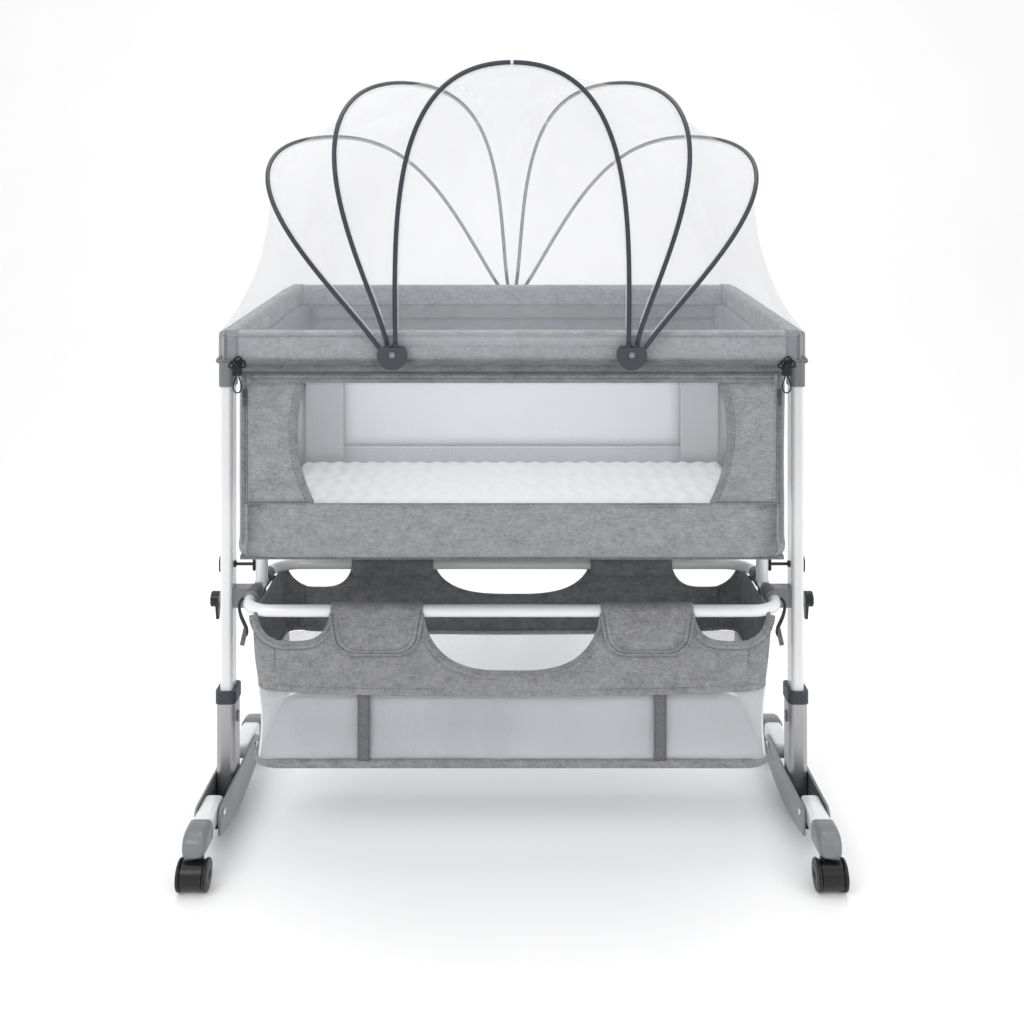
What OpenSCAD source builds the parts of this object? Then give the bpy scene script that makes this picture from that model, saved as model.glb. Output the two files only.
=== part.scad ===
/* [Crib] */
// Length of the crib's top rails, end to end
rim_length = 920; // [860:5:960]
// Depth of the crib over the front and rear rails
rim_depth = 564; // [520:2:600]
// Height of the front rail's top above the floor
rim_front_top = 906; // [880:2:930]
// How much higher the rear rail is than the front rail
rim_rise = 35; // [0:1:40]
// Height of the padded rails
rail_height = 50; // [44:1:56]
// Thickness of the padded rails
rail_thick = 26; // [24:1:30]
// Half length of the fabric body over its end walls
body_half = 433; // [420:1:433]
// Height of the body's underside above the floor
body_bottom = 543; // [520:1:560]
// Thickness of the mattress
mattress_thick = 38; // [25:1:45]

/* [Front panel] */
// Height of the seam that the front panel folds down at
panel_seam = 633; // [620:1:650]
// Half width of the front panel
panel_half = 415; // [405:1:415]
// Half width of the window at its middle height
window_half = 339; // [300:1:350]

/* [Legs and feet] */
// Distance from the middle of the crib to each leg
leg_x = 512; // [508:1:520]
// Width of the white leg tube
leg_w = 22; // [20:1:24]
// Depth of the white leg tube, front to back
leg_d = 40; // [36:1:44]
// Height of the sleeve's top above the floor
sleeve_top = 212; // [190:1:230]
// Half length of the foot between its caster stems
foot_half = 205; // [203:1:207]
// Diameter of a caster wheel
wheel_dia = 50; // [44:1:52]

/* [Basket] */
// Height of the basket frame's tube
ring_z = 415; // [405:1:420]
// Distance from the middle to the basket frame's end tubes
ring_x = 456; // [452:1:458]
// Distance from the middle to the basket frame's long tubes
ring_y = 125; // [110:1:160]
// Diameter of the basket frame's tube
ring_dia = 20; // [18:1:22]
// Height of the tray's floor
tray_z = 152; // [140:1:170]

/* [Net] */
// Distance from the middle to each front hub
hub_x = 184; // [170:1:200]
// Diameter of a hub
hub_dia = 47; // [42:1:52]
// Diameter of a hoop's rod
hoop_dia = 7.2; // [6:0.2:8]

/* [Hidden] */
$fn = 48;
gap = 0.3;
wall = 4;
rim_x = rim_length / 2;
rim_y = rim_depth / 2;
rear_top = rim_front_top + rim_rise;
front_low = rim_front_top - rail_height;
rear_low = rear_top - rail_height;
rail_wall = 3;
rail_tube_dia = 18;
corner_size = 19.4;
cover_in_y = rim_y - rail_thick;
rail_mid_y = rim_y - rail_thick / 2;
rail_mid_x = rim_x - rail_thick / 2;
rail_slope = atan(rim_rise / (2 * rail_mid_y));
front_mid_z = rim_front_top - rail_height / 2;
rear_mid_z = rear_top - rail_height / 2;
body_y = 260;
flange_half = panel_half + 0.4;
wall_in_x = body_half - wall;
board_thick = 6;
mattress_z = body_bottom + board_thick + gap;
window_top = 822;
window_bow = 250;
window_mid = 746;
zip_x = 419.5;
zip_z = 806;
panel_top = 840;
rear_window_half = 345;
rear_window_low = 612;
rear_window_high = 800;
mesh_thick = 1;
mesh_inset = 1.5;
joint_low = 778;
joint_top = 871;
tube_top = 829;
tube_low = 96;
sleeve_w = 33;
sleeve_d = 50;
collar_w = 37;
collar_d = 54;
sleeve_floor = 34.3;
tube_wall = 1.5;
plug_gap = 0.3;
stay_x = 452;
stay_dia = 22;
bolt_z = ring_z + 40;
knob_z = 392;
bracket_w = 46;
bracket_half = 140;
bracket_top = 86;
bracket_floor = 34;
pivot_y = 118;
arm_low = 56;
arm_top = 88;
arm_mid = (arm_low + arm_top) / 2;
cap_wall = 2.5;
arm_w = 34;
arm_wall = 2;
arm_in = 92;
arm_out = 216;
cap_in = 176;
stem_dia = 8;
stem_high = 80;
bush_dia = 16;
caster_trail = 15;
wheel_w = 7;
wheel_gap = 0.6;
hood_w = 34;
hood_dia = 45;
hood_slot = 22;
axle_dia = 6;
shaft_dia = 6;
run = 0.1;
fabric = 3;
loop_r = ring_dia / 2 + gap;
corner_r = 50;
band_low = 282;
band_half = 442;
flap_low = 349;
scoop_z = 366;
mid_scoop_z = 316;
rear_scoop_z = 352;
tab_in = 150;
tab_out = 306;
mesh_x = 436;
mesh_y = 131;
tray_rim_h = 14;
strap_x = 250;
strap_w = 22;
hub_gap = 12;
hub_plate = 2;
// A hub is cut flat this far above its centre, where the hoops come out
hub_flat = 11.5;
hub_z = 871;
hub_y = rim_y + 3.4;
rear_hub_z = rear_mid_z;
ball_y = hub_y + hub_plate + hub_gap / 2;
ball_r = 4.6;
hoop_steps = 17;
hem_z = 876;
net_out = 3;
net_thick = 2.4;
button_z = 181;
button_w = 9;
button_h = 17;
lock_mid = [-424, -291.5, 845];

// Hoop ends at the left hub and at the rear hub, measured from each hub's centre
ARCH_END = [4, 13];
MID_END = [-8, 12];
OUTER_END = [-14.5, 1];
REAR_MID_END = [-7, 13];
REAR_OUTER_END = [-18, 6];
// Each hoop: height, stiffness of its foot, fullness of its two shoulders, outward lean in degrees
ARCH_FORM = [434, 211, 181, 181, 8];
MID_FORM = [424, 104, 578, 574, 10.4];
OUTER_FORM = [406, 127, 510, 484, 35];

// Route of the left elastic loop, from the cord lock down and back up
LOOP = [
    [-426, -291, 838], [-426.2, -291, 836], [-427.4, -291.4, 832], [-429.4, -291.8, 827.5],
    [-430.4, -292, 822.5], [-430, -292, 817.5], [-428, -291.8, 813.5], [-425.4, -291.6, 811.8],
    [-422.6, -291.6, 811.8], [-420, -291.8, 813.5], [-418, -292, 817.5], [-417.6, -292, 822.5],
    [-418.6, -291.8, 827.5], [-420.6, -291.4, 832], [-421.8, -291, 836], [-422, -291, 838]
];
cord_dia = 2.2;

// ---- Shared shapes ----

module both_sides() {
    children();
    mirror([1, 0, 0]) children();
}

module side(left) {
    if (left) children();
    else mirror([1, 0, 0]) children();
}

module front_and_rear() {
    children();
    mirror([0, 1, 0]) children();
}

// A rectangle with round corners, centred on the origin
module round_rect(w, d, r) {
    square([w - 2 * r, d], center = true);
    square([w, d - 2 * r], center = true);
    for (x = [-1, 1], y = [-1, 1]) translate([x * (w / 2 - r), y * (d / 2 - r)]) circle(r);
}

// An upright of round-rectangle section
module post(w, d, r, low, high) {
    translate([0, 0, low]) linear_extrude(high - low) round_rect(w, d, r);
}

// A box given by its two corners
module block(low, high) {
    translate(low) cube(high - low);
}

// A cylinder along X, centred at a point
module rod_x(p, d, length) {
    translate(p) rotate([0, 90, 0]) cylinder(d = d, h = length, center = true);
}

// A cylinder along Y from a point, towards +Y
module rod_y(p, d, length) {
    translate(p) rotate([-90, 0, 0]) cylinder(d = d, h = length);
}

// A plate that stands across X, cut to an outline given in Y and Z
module plate_x(x, thick, outline) {
    translate([x, 0, 0]) rotate([90, 0, 90]) linear_extrude(thick) polygon(outline);
}

// A plate that stands across Y, cut to a 2-D child drawn in X and Z
module plate_y(y, thick) {
    translate([0, y + thick, 0]) rotate([90, 0, 0]) linear_extrude(thick) children();
}

// ---- Crib rim ----

// Height of a rail line at a depth y, for the sloping end rails
function rail_line(low, y) = low + rim_rise * (y + rail_mid_y) / (2 * rail_mid_y);

module rail_tubes() {
    end_half = rail_mid_y - corner_size / 2 - 2;
    color("silver") {
        rod_x([0, -rail_mid_y, front_mid_z], rail_tube_dia, 2 * (rail_mid_x - corner_size / 2 - gap));
        rod_x([0, rail_mid_y, rear_mid_z], rail_tube_dia, 2 * (rail_mid_x - corner_size / 2 - gap));
        both_sides()
            translate([-rail_mid_x, 0, (front_mid_z + rear_mid_z) / 2]) rotate([rail_slope, 0, 0])
                rod_y([0, -end_half, 0], rail_tube_dia, 2 * end_half);
    }
}

module corner_joints() {
    size = [corner_size, corner_size, 40];
    color("dimgray") both_sides() {
        translate([-rail_mid_x, -rail_mid_y, front_mid_z]) cube(size, center = true);
        translate([-rail_mid_x, rail_mid_y, rear_mid_z]) cube(size, center = true);
    }
}

// A long rail's cover, hollow, with a window at each end for the end rail's tube
module straight_cover(y, low) {
    bore = [rim_length - 2 * rail_wall, rail_thick - 2 * rail_wall, rail_height - 2 * rail_wall];
    inner_y = y > 0 ? y - rail_thick / 2 : y + rail_thick / 2;
    difference() {
        translate([0, y, low]) linear_extrude(rail_height) round_rect(rim_length, rail_thick, 10);
        translate([0, y, low + rail_height / 2]) cube(bore, center = true);
        both_sides() translate([-rail_mid_x, inner_y, low + rail_height / 2])
            cube([20, 2 * rail_wall + 1, 26], center = true);
    }
}

module rail_cover_front() {
    color("silver") straight_cover(-rail_mid_y, front_low);
}

module rail_cover_rear() {
    color("silver") straight_cover(rail_mid_y, rear_low);
}

// Outline of an end rail in Y and Z, from its lower line up to its upper line
function rail_outline(reach, low, high) = [
    [-reach, rail_line(low, -reach)], [reach, rail_line(low, reach)],
    [reach, rail_line(high, reach)], [-reach, rail_line(high, -reach)]
];

module rail_cover_ends() {
    reach = cover_in_y - gap;
    color("silver") both_sides() difference() {
        plate_x(-rim_x, rail_thick, rail_outline(reach, front_low, rim_front_top));
        plate_x(-rim_x + rail_wall, rail_thick - 2 * rail_wall,
            rail_outline(reach + 1, front_low + rail_wall, rim_front_top - rail_wall));
    }
}

// ---- Fabric body ----

// Outline of the window: straight above and below, bowed at the sides
module window_shape(grow) {
    intersection() {
        translate([-window_half - grow, panel_seam - 1])
            square([2 * (window_half + grow), window_top + 1 + grow - panel_seam]);
        translate([0, window_mid]) union() {
            square([2 * (window_half - window_bow), 2 * window_bow], center = true);
            for (s = [-1, 1]) translate([s * (window_half - window_bow), 0])
                circle(window_bow + grow, $fn = 96);
        }
    }
}

module panel_outline() {
    translate([-panel_half, panel_seam + gap]) square([2 * panel_half, panel_top - panel_seam - gap]);
}

module front_panel() {
    color("darkgray") plate_y(-body_y, wall) difference() {
        panel_outline();
        window_shape(0);
    }
}

module front_window() {
    color("white") plate_y(-body_y + mesh_inset, mesh_thick) intersection() {
        window_shape(-gap);
        panel_outline();
    }
}

module front_band() {
    color("darkgray") block([-panel_half, -body_y, body_bottom],
        [panel_half, -body_y + wall, panel_seam - gap]);
}

module rear_wall() {
    color("darkgray") plate_y(body_y - wall, wall) difference() {
        translate([-panel_half, body_bottom]) square([2 * panel_half, rear_low - gap - body_bottom]);
        translate([-rear_window_half, rear_window_low])
            square([2 * rear_window_half, rear_window_high - rear_window_low]);
    }
}

module rear_window() {
    low = [-rear_window_half + gap, body_y - wall + mesh_inset, rear_window_low + gap];
    high = [rear_window_half - gap, body_y - wall + mesh_inset + mesh_thick, rear_window_high - gap];
    color("white") block(low, high);
}

// Each end wall is a sloping plate with a flange at the front and one at the rear
module end_walls() {
    step_y = cover_in_y - 4;
    rear_z = rail_line(front_low, step_y) - gap;
    front_z = front_low - gap;
    outline = [[-body_y, body_bottom], [body_y, body_bottom], [body_y, rear_z], [step_y, rear_z],
        [-cover_in_y, front_z], [-body_y, front_z]];
    color("darkgray") both_sides() {
        plate_x(-body_half, wall, outline);
        block([-body_half, -body_y, body_bottom], [-flange_half, -body_y + wall, front_z]);
        block([-body_half, body_y - wall, body_bottom], [-flange_half, body_y, front_z]);
    }
}

module base_board() {
    color("gray") block([-wall_in_x + gap, -body_y + wall + gap, body_bottom],
        [wall_in_x - gap, body_y - wall - gap, body_bottom + board_thick]);
}

module mattress() {
    color("white") block([-wall_in_x + 3, -body_y + wall + 3, mattress_z],
        [wall_in_x - 3, body_y - wall - 3, mattress_z + mattress_thick]);
}

// A zip's slider and the tab that hangs from it
module zip_slider(left) {
    face = -body_y - gap;
    color("dimgray") side(left) translate([-zip_x, face, zip_z]) {
        block([-3, -2.3, -6], [3, 0, 6]);
        block([-1.5, -3.7, -20], [1.5, -2.5, -3]);
        block([-0.8, -2.6, -6], [0.8, -2.2, -3]);
    }
}

// ---- Legs ----

// The grey bracket at the top of each leg: a socket for the tube, and an arm in to the stay tube
module leg_joints() {
    arm_z = tube_top + 8;
    color("slategray") both_sides() difference() {
        union() {
            translate([-leg_x, 0, 0]) post(leg_w + 5, leg_d + 5, 9, joint_low, joint_top);
            block([-leg_x, -20, arm_z], [-stay_x + 12, 20, joint_top]);
            translate([-stay_x, 0, arm_z]) cylinder(d = stay_dia + 4, h = joint_top - arm_z);
        }
        translate([-leg_x, 0, 0]) post(leg_w + 2 * gap, leg_d + 2 * gap, 7, joint_low - 1, tube_top + gap);
    }
}

module leg_tubes() {
    color("white") both_sides() translate([-leg_x, 0, 0]) difference() {
        post(leg_w, leg_d, 7, tube_low, tube_top);
        post(leg_w - 2 * tube_wall, leg_d - 2 * tube_wall, 5.5, tube_low - 1, tube_top - 1);
        rod_x([0, 0, bolt_z], 6, leg_w + 2);
        rod_x([0, 0, knob_z], shaft_dia, leg_w + 2);
    }
}

module leg_plugs() {
    color("dimgray") both_sides() translate([-leg_x, 0, 0]) {
        post(sleeve_w - 4 - 2 * plug_gap, sleeve_d - 4 - 2 * plug_gap, 8, tube_low - 12, tube_low - gap);
        post(leg_w - 2 * tube_wall - 0.4, leg_d - 2 * tube_wall - 0.4, 5, tube_low - 1, tube_low + 20);
    }
}

module stay_tubes() {
    low = ring_z + ring_dia / 2 + gap;
    color("white") both_sides() translate([-stay_x, 0, 0]) difference() {
        translate([0, 0, low]) cylinder(d = stay_dia, h = tube_top + 8 - gap - low);
        translate([0, 0, low - 1]) cylinder(d = stay_dia - 2 * tube_wall, h = tube_top - low);
        rod_x([0, 0, bolt_z], 6, stay_dia + 2);
    }
}

// One bolt on each side runs through the stay and the leg, with an oval cap on each
module stay_bolts() {
    head_x = leg_x + leg_w / 2;
    end_x = stay_x - 9;
    cap = 4;
    color("black") both_sides() {
        rod_x([-(head_x + end_x + 1) / 2, 0, bolt_z], 5.6, head_x + 1 - end_x);
        translate([-head_x - cap, 0, bolt_z]) rotate([0, 90, 0])
            linear_extrude(cap - gap) round_rect(29, 18, 8);
        translate([-stay_x - stay_dia / 2 - cap, 0, bolt_z]) rotate([0, 90, 0])
            linear_extrude(cap - gap) round_rect(24, 14, 6);
        rod_x([-leg_x + leg_w / 2 + 1.8, 0, bolt_z], 12, 3);
    }
}

// A washer outside the leg, and inside it a saddle that the basket frame's end tube lies in
module basket_clamps() {
    out_x = leg_x + leg_w / 2;
    in_x = leg_x - leg_w / 2;
    color("gray") both_sides() difference() {
        union() {
            rod_x([-out_x - gap - 2, 0, knob_z], 24, 4);
            block([-in_x + gap, -13, knob_z - 12], [-ring_x + 9.5, 13, ring_z]);
        }
        rod_y([-ring_x, -20, ring_z], 2 * loop_r, 40);
        rod_x([-(out_x + ring_x) / 2, 0, knob_z], shaft_dia, out_x - ring_x + 16);
    }
}

// A scalloped knob with a short tail and the threaded shaft that clamps the basket frame
module knob(left) {
    face_x = leg_x + leg_w / 2 + 4.6;
    end_x = ring_x + 20;
    body = 14;
    color("black") side(left) difference() {
        union() {
            rod_x([-face_x - body / 2, 0, knob_z], 27, body);
            translate([-face_x - 6, 0, knob_z]) rotate([90, 0, 90])
                linear_extrude(5) polygon([[-11, -4], [11, -4], [3, -36], [-3, -36]]);
            rod_x([-(face_x + end_x) / 2, 0, knob_z], shaft_dia - run, face_x - end_x + 4);
        }
        for (a = [0:45:315]) translate([-face_x - 10.5, 0, knob_z]) rotate([a, 0, 0])
            rod_x([0, 15.5, 0], 6, 8);
    }
}

// ---- Basket ----

module basket_frame() {
    color("white") translate([0, 0, ring_z]) {
        front_and_rear() rod_x([0, -ring_y, 0], ring_dia, 2 * (ring_x - corner_r));
        both_sides() rod_y([-ring_x, -ring_y + corner_r, 0], ring_dia, 2 * (ring_y - corner_r));
        both_sides() front_and_rear() translate([ring_x - corner_r, ring_y - corner_r, 0])
            rotate_extrude(angle = 90) translate([corner_r, 0]) circle(d = ring_dia);
    }
}

// A shape with a flat top and a round bottom, used for the scoops and the flaps
module round_bottom(w, low, high, r) {
    translate([-w / 2, low + r]) square([w, high - low - r]);
    translate([-w / 2 + r, low]) square([w - 2 * r, high - low]);
    for (s = [-1, 1]) translate([s * (w / 2 - r), low + r]) circle(r);
}

// One long side: scoops leave two tabs that wrap over the frame's tube and hang down in front
module basket_band(mid_low) {
    y = -ring_y - loop_r - fabric;
    tab_w = tab_out - tab_in;
    tab_mid = (tab_out + tab_in) / 2;
    end_w = band_half - 11 - tab_out;
    above = ring_z + 1;
    color("gray") {
        plate_y(y, fabric) difference() {
            translate([-band_half, band_low]) square([2 * band_half, ring_z - band_low]);
            round_bottom(2 * tab_in, mid_low, above, 0.8 * (ring_z - mid_low));
            for (s = [-1, 1]) translate([s * (tab_out + end_w / 2), 0])
                round_bottom(end_w, scoop_z, above, 0.8 * (ring_z - scoop_z));
        }
        for (s = [-1, 1]) translate([s * tab_mid, 0, 0]) {
            plate_y(y - fabric, fabric + 1) round_bottom(tab_w, flap_low, ring_z + 5, 34);
            difference() {
                rod_x([0, -ring_y, ring_z], 2 * (loop_r + fabric), tab_w);
                rod_x([0, -ring_y, ring_z], 2 * loop_r, tab_w + 2);
            }
        }
    }
}

module basket_front() {
    basket_band(mid_scoop_z);
}

module basket_rear() {
    mirror([0, 1, 0]) basket_band(rear_scoop_z);
}

// Each end is a plate below the frame, wrapped round its end tube on both sides of the saddle
module basket_ends() {
    saddle = 16;
    straight = ring_y - corner_r - 1;
    x = -ring_x + loop_r;
    below = ring_z - ring_dia / 2 - 1;
    color("gray") both_sides() difference() {
        union() {
            block([x, -mesh_y, band_low], [x + fabric, mesh_y, below]);
            block([x, -straight, below - 1], [x + fabric, straight, ring_z]);
            front_and_rear() rod_y([-ring_x, -straight, ring_z], 2 * (loop_r + fabric), straight - saddle);
        }
        rod_y([-ring_x, -ring_y, ring_z], 2 * loop_r, 2 * ring_y);
    }
}

// A ring of mesh between the bands and the tray's rim
module tray_mesh() {
    low = tray_z + tray_rim_h - 1 + gap;
    color("white") translate([0, 0, low]) linear_extrude(band_low - gap - low) difference() {
        round_rect(2 * mesh_x, 2 * mesh_y, 20);
        round_rect(2 * (mesh_x - mesh_thick), 2 * (mesh_y - mesh_thick), 20 - mesh_thick);
    }
}

module tray_floor() {
    color("lightsteelblue") translate([0, 0, tray_z]) linear_extrude(6)
        round_rect(2 * ring_x - 42, 2 * ring_y - 2, 42);
}

module tray_rim() {
    w = 2 * ring_x - 22;
    d = 2 * ring_y + 18;
    border = 20 - 2 * gap;
    color("gray") translate([0, 0, tray_z - 1]) linear_extrude(tray_rim_h) difference() {
        round_rect(w, d, 50);
        round_rect(w - border, d - border, 42);
    }
}

module tray_straps() {
    color("gray") front_and_rear() for (s = [-1, 1])
        block([s * strap_x - strap_w / 2, -mesh_y - gap - 1.3, tray_z + tray_rim_h - 1 + gap],
            [s * strap_x + strap_w / 2, -mesh_y - gap, band_low + 10]);
}

// ---- Net ----

module hub(z) {
    translate([0, -hub_y, z]) rotate([90, 0, 0]) {
        cylinder(d = hub_dia - 7, h = hub_plate);
        translate([0, 0, hub_plate + hub_gap]) cylinder(d = hub_dia, h = hub_plate + 0.6);
        difference() {
            cylinder(d = 9, h = 2 * hub_plate + hub_gap);
            translate([0, 0, -1]) cylinder(d = 6, h = 2 * hub_plate + hub_gap + 2);
        }
    }
}

module hub_with_bore(z) {
    difference() {
        hub(z);
        translate([0, -hub_y + 1, z]) rotate([90, 0, 0]) cylinder(d = 6, h = 30);
        translate([-hub_dia, -hub_y - 20, z + hub_flat]) cube([2 * hub_dia, 21, hub_dia]);
    }
}

module net_hubs() {
    color("dimgray") {
        both_sides() translate([-hub_x, 0, 0]) hub_with_bore(hub_z);
        mirror([0, 1, 0]) hub_with_bore(rear_hub_z);
    }
}

module rivet(z) {
    length = 2 * hub_plate + hub_gap + 0.6;
    translate([0, -hub_y, z]) rotate([90, 0, 0]) {
        cylinder(d = 5.8, h = length);
        translate([0, 0, length + 0.1]) cylinder(d = 9, h = 1.6);
        translate([0, 0, length - 0.5]) cylinder(d = 5.8, h = 1);
    }
}

module hub_rivets() {
    color("silver") {
        both_sides() translate([-hub_x, 0, 0]) rivet(hub_z);
        mirror([0, 1, 0]) rivet(rear_hub_z);
    }
}

function unit(v) = v / norm(v);
function hub_point(x, end) = [x + end[0], -ball_y, hub_z + end[1]];
function rear_point(end) = [end[0], ball_y, rear_hub_z + end[1]];

// A cubic curve for one half of a hoop, from its foot to its top: [along, up]
function hoop_half(l, form, full, t) = [
    -l / 2 * pow(1 - t, 3) - 3 * l / 2 * pow(1 - t, 2) * t - 3 * full * (1 - t) * t * t,
    3 * form[1] * pow(1 - t, 2) * t + 3 * form[0] * (1 - t) * t * t + form[0] * pow(t, 3)
];
function hoop_uv(l, form, s) = s <= 1
    ? hoop_half(l, form, form[2], s)
    : let (q = hoop_half(l, form, form[3], 2 - s)) [-q[0], q[1]];
// The direction that a hoop rises in: up, leaning outwards about the line through its feet
function hoop_up(a, b, out, lean) = let (
    u = unit(b - a),
    flat = unit(cross(u, [0, 0, 1])),
    side = flat * out > 0 ? flat : -flat,
    up = unit([0, 0, 1] - u * u[2])
) up * cos(lean) + side * sin(lean);
function hoop_line(a, b, out, form) = let (
    l = norm(b - a),
    u = unit(b - a),
    w = hoop_up(a, b, out, form[4])
) [for (i = [0:2 * hoop_steps]) let (p = hoop_uv(l, form, i / hoop_steps)) (a + b) / 2 + u * p[0] + w * p[1]];

ARCH_FOOT = hub_point(-hub_x, ARCH_END);
ARCH_LINE = hoop_line(ARCH_FOOT, [-ARCH_FOOT[0], ARCH_FOOT[1], ARCH_FOOT[2]], [0, -1, 0], ARCH_FORM);
MID_LINE = hoop_line(hub_point(-hub_x, MID_END), rear_point(REAR_MID_END), [-1, 0, 0], MID_FORM);
OUTER_LINE = hoop_line(hub_point(-hub_x, OUTER_END), rear_point(REAR_OUTER_END), [-1, 0, 0], OUTER_FORM);

// A round tube swept along points, with a ring square to the path at each of them
function tangent(line, i) = let (n = len(line) - 1) unit(line[min(n, i + 1)] - line[max(0, i - 1)]);
function ring_at(p, t, ref, r, sides) = let (
    x = unit(cross(t, ref)),
    y = cross(x, t)
) [for (k = [0:sides - 1]) p + r * (x * cos(360 * k / sides) + y * sin(360 * k / sides))];
module swept_tube(line, ref, d, sides) {
    n = len(line);
    points = [for (i = [0:n - 1]) each ring_at(line[i], tangent(line, i), ref, d / 2, sides)];
    walls = [for (i = [0:n - 2], k = [0:sides - 1]) let (a = i * sides + k, b = i * sides + (k + 1) % sides)
        [a, b, b + sides, a + sides]];
    first = [for (k = [sides - 1:-1:0]) k];
    last = [for (k = [0:sides - 1]) (n - 1) * sides + k];
    polyhedron(points, concat([first], walls, [last]));
}

module hoop(line) {
    n = len(line) - 1;
    ref = unit(cross(line[n] - line[0], line[hoop_steps] - line[0]));
    swept_tube(line, ref, hoop_dia, 10);
    translate(line[0]) sphere(ball_r);
    translate(line[n]) sphere(ball_r);
}

module hoop_arch() {
    color("darkslategray") hoop(ARCH_LINE);
}

module hoop_mid(left) {
    color("darkslategray") side(left) hoop(MID_LINE);
}

module hoop_outer(left) {
    color("darkslategray") side(left) hoop(OUTER_LINE);
}

// Points of a hoop moved in from it, and kept within the depth of the rim
function moved_in(p, d, reach) = let (
    q = p + d * unit([0, 0, 1000] - p)
) [q[0], min(reach, max(-reach, q[1])), q[2]];
module dome(inset, out) {
    reach = [rim_x + out, rim_y + out];
    high = [for (line = [ARCH_LINE, MID_LINE, OUTER_LINE], i = [3:2 * hoop_steps - 3])
        moved_in(line[i], inset, reach[1])];
    low = [for (y = [-1, 1], z = [hem_z, (y < 0 ? rim_front_top : rear_top) + out])
        [-reach[0], y * reach[1], z]];
    hull() for (p = concat(high, low), s = [-1, 1])
        translate([s * p[0], p[1], p[2]]) cube(0.1, center = true);
}

module mosquito_net() {
    color("white", 0.4) difference() {
        dome(7, net_out);
        dome(7 + net_thick, net_out - net_thick);
        translate([0, 0, hem_z - 5]) cube([2 * rim_x + 1.2, rim_depth + 1.2, 40], center = true);
    }
}

module cord_locks() {
    color("black") both_sides() translate(lock_mid) {
        cube([13, 9, 13.4], center = true);
        translate([0, 0, 9]) cylinder(d = 8, h = 5, center = true);
    }
}

module cord(left) {
    color("black") side(left) swept_tube(LOOP, [0, 1, 0], cord_dia, 8);
}

// ---- Feet ----

module sleeve(left) {
    color("silver") side(left) translate([-leg_x, 0, 0]) difference() {
        post(sleeve_w, sleeve_d, 10, sleeve_floor, sleeve_top);
        post(sleeve_w - 4, sleeve_d - 4, 8, sleeve_floor + 2, sleeve_top + 1);
        translate([sleeve_w / 2, 0, button_z])
            cube([8, button_w + 2 * gap, button_h + 2 * gap], center = true);
    }
}

module collar(left) {
    color("dimgray") side(left) translate([-leg_x, 0, 0]) difference() {
        post(collar_w, collar_d, 11, sleeve_top + gap, sleeve_top + 22);
        post(leg_w + 2 * gap, leg_d + 2 * gap, 7 + gap, sleeve_top - 1, sleeve_top + 30);
    }
}

// The button stands out through the sleeve's wall, with a flange behind the wall
module button(left) {
    behind = 3.2;
    color("gainsboro") side(left) translate([-leg_x + sleeve_w / 2, 0, button_z]) {
        block([-behind, -button_w / 2, -button_h / 2], [3, button_w / 2, button_h / 2]);
        block([-behind, -button_w / 2, -button_h / 2 - 2], [-behind + 1, button_w / 2, button_h / 2 + 2]);
    }
}

// The channel's sides have a long arc below
module bracket_outline() {
    arc = 553;
    intersection() {
        translate([-bracket_half, 20]) square([2 * bracket_half, bracket_top - 20]);
        translate([0, 24 + arc]) circle(arc, $fn = 200);
    }
}

// A box-section arm with the bush that holds a caster's stem
module foot_arm() {
    difference() {
        union() {
            difference() {
                translate([0, -arm_in, arm_mid]) rotate([90, 0, 0])
                    linear_extrude(arm_out - arm_in) round_rect(arm_w, arm_top - arm_low, 9);
                translate([0, -arm_in + 1, arm_mid]) rotate([90, 0, 0]) linear_extrude(arm_out - arm_in + 2)
                    round_rect(arm_w - 2 * arm_wall, arm_top - arm_low - 2 * arm_wall, 7);
            }
            translate([0, -foot_half, arm_low + 0.5]) cylinder(d = bush_dia, h = stem_high + 3 - arm_low);
        }
        translate([0, -foot_half, arm_low - 1]) cylinder(d = stem_dia + run, h = stem_high + 2 - arm_low);
    }
    rod_x([0, -pivot_y, arm_mid], 5.8, bracket_w + 6);
}

module foot(left) {
    inside = bracket_w - 8;
    color("gray") side(left) translate([-leg_x, 0, 0]) {
        difference() {
            translate([-bracket_w / 2, 0, 0]) rotate([90, 0, 90]) linear_extrude(bracket_w) bracket_outline();
            translate([-inside / 2, -bracket_half - 1, bracket_floor])
                cube([inside, 2 * bracket_half + 2, bracket_top]);
            front_and_rear() rod_x([0, -pivot_y, arm_mid], 6, bracket_w + 2);
        }
        front_and_rear() foot_arm();
    }
}

// A cover over each arm's end, with a round nose
module foot_caps(left) {
    w = arm_w + 2 * cap_wall;
    h = arm_top - arm_low + 2 * cap_wall;
    nose_y = foot_half + 6;
    color("slategray") side(left) translate([-leg_x, 0, 0]) front_and_rear() difference() {
        union() {
            translate([0, -cap_in, arm_mid]) rotate([90, 0, 0]) linear_extrude(nose_y - cap_in)
                round_rect(w, h, 11);
            rod_x([0, -nose_y, arm_mid], h, w - 11);
        }
        translate([0, -cap_in + 1, arm_mid]) rotate([90, 0, 0]) linear_extrude(arm_out - cap_in + 1 + gap)
            round_rect(arm_w + 2 * gap, arm_top - arm_low + 2 * gap, 9 + gap);
        translate([0, -foot_half, arm_low - h]) cylinder(d = bush_dia, h = h + 1);
    }
}

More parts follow.
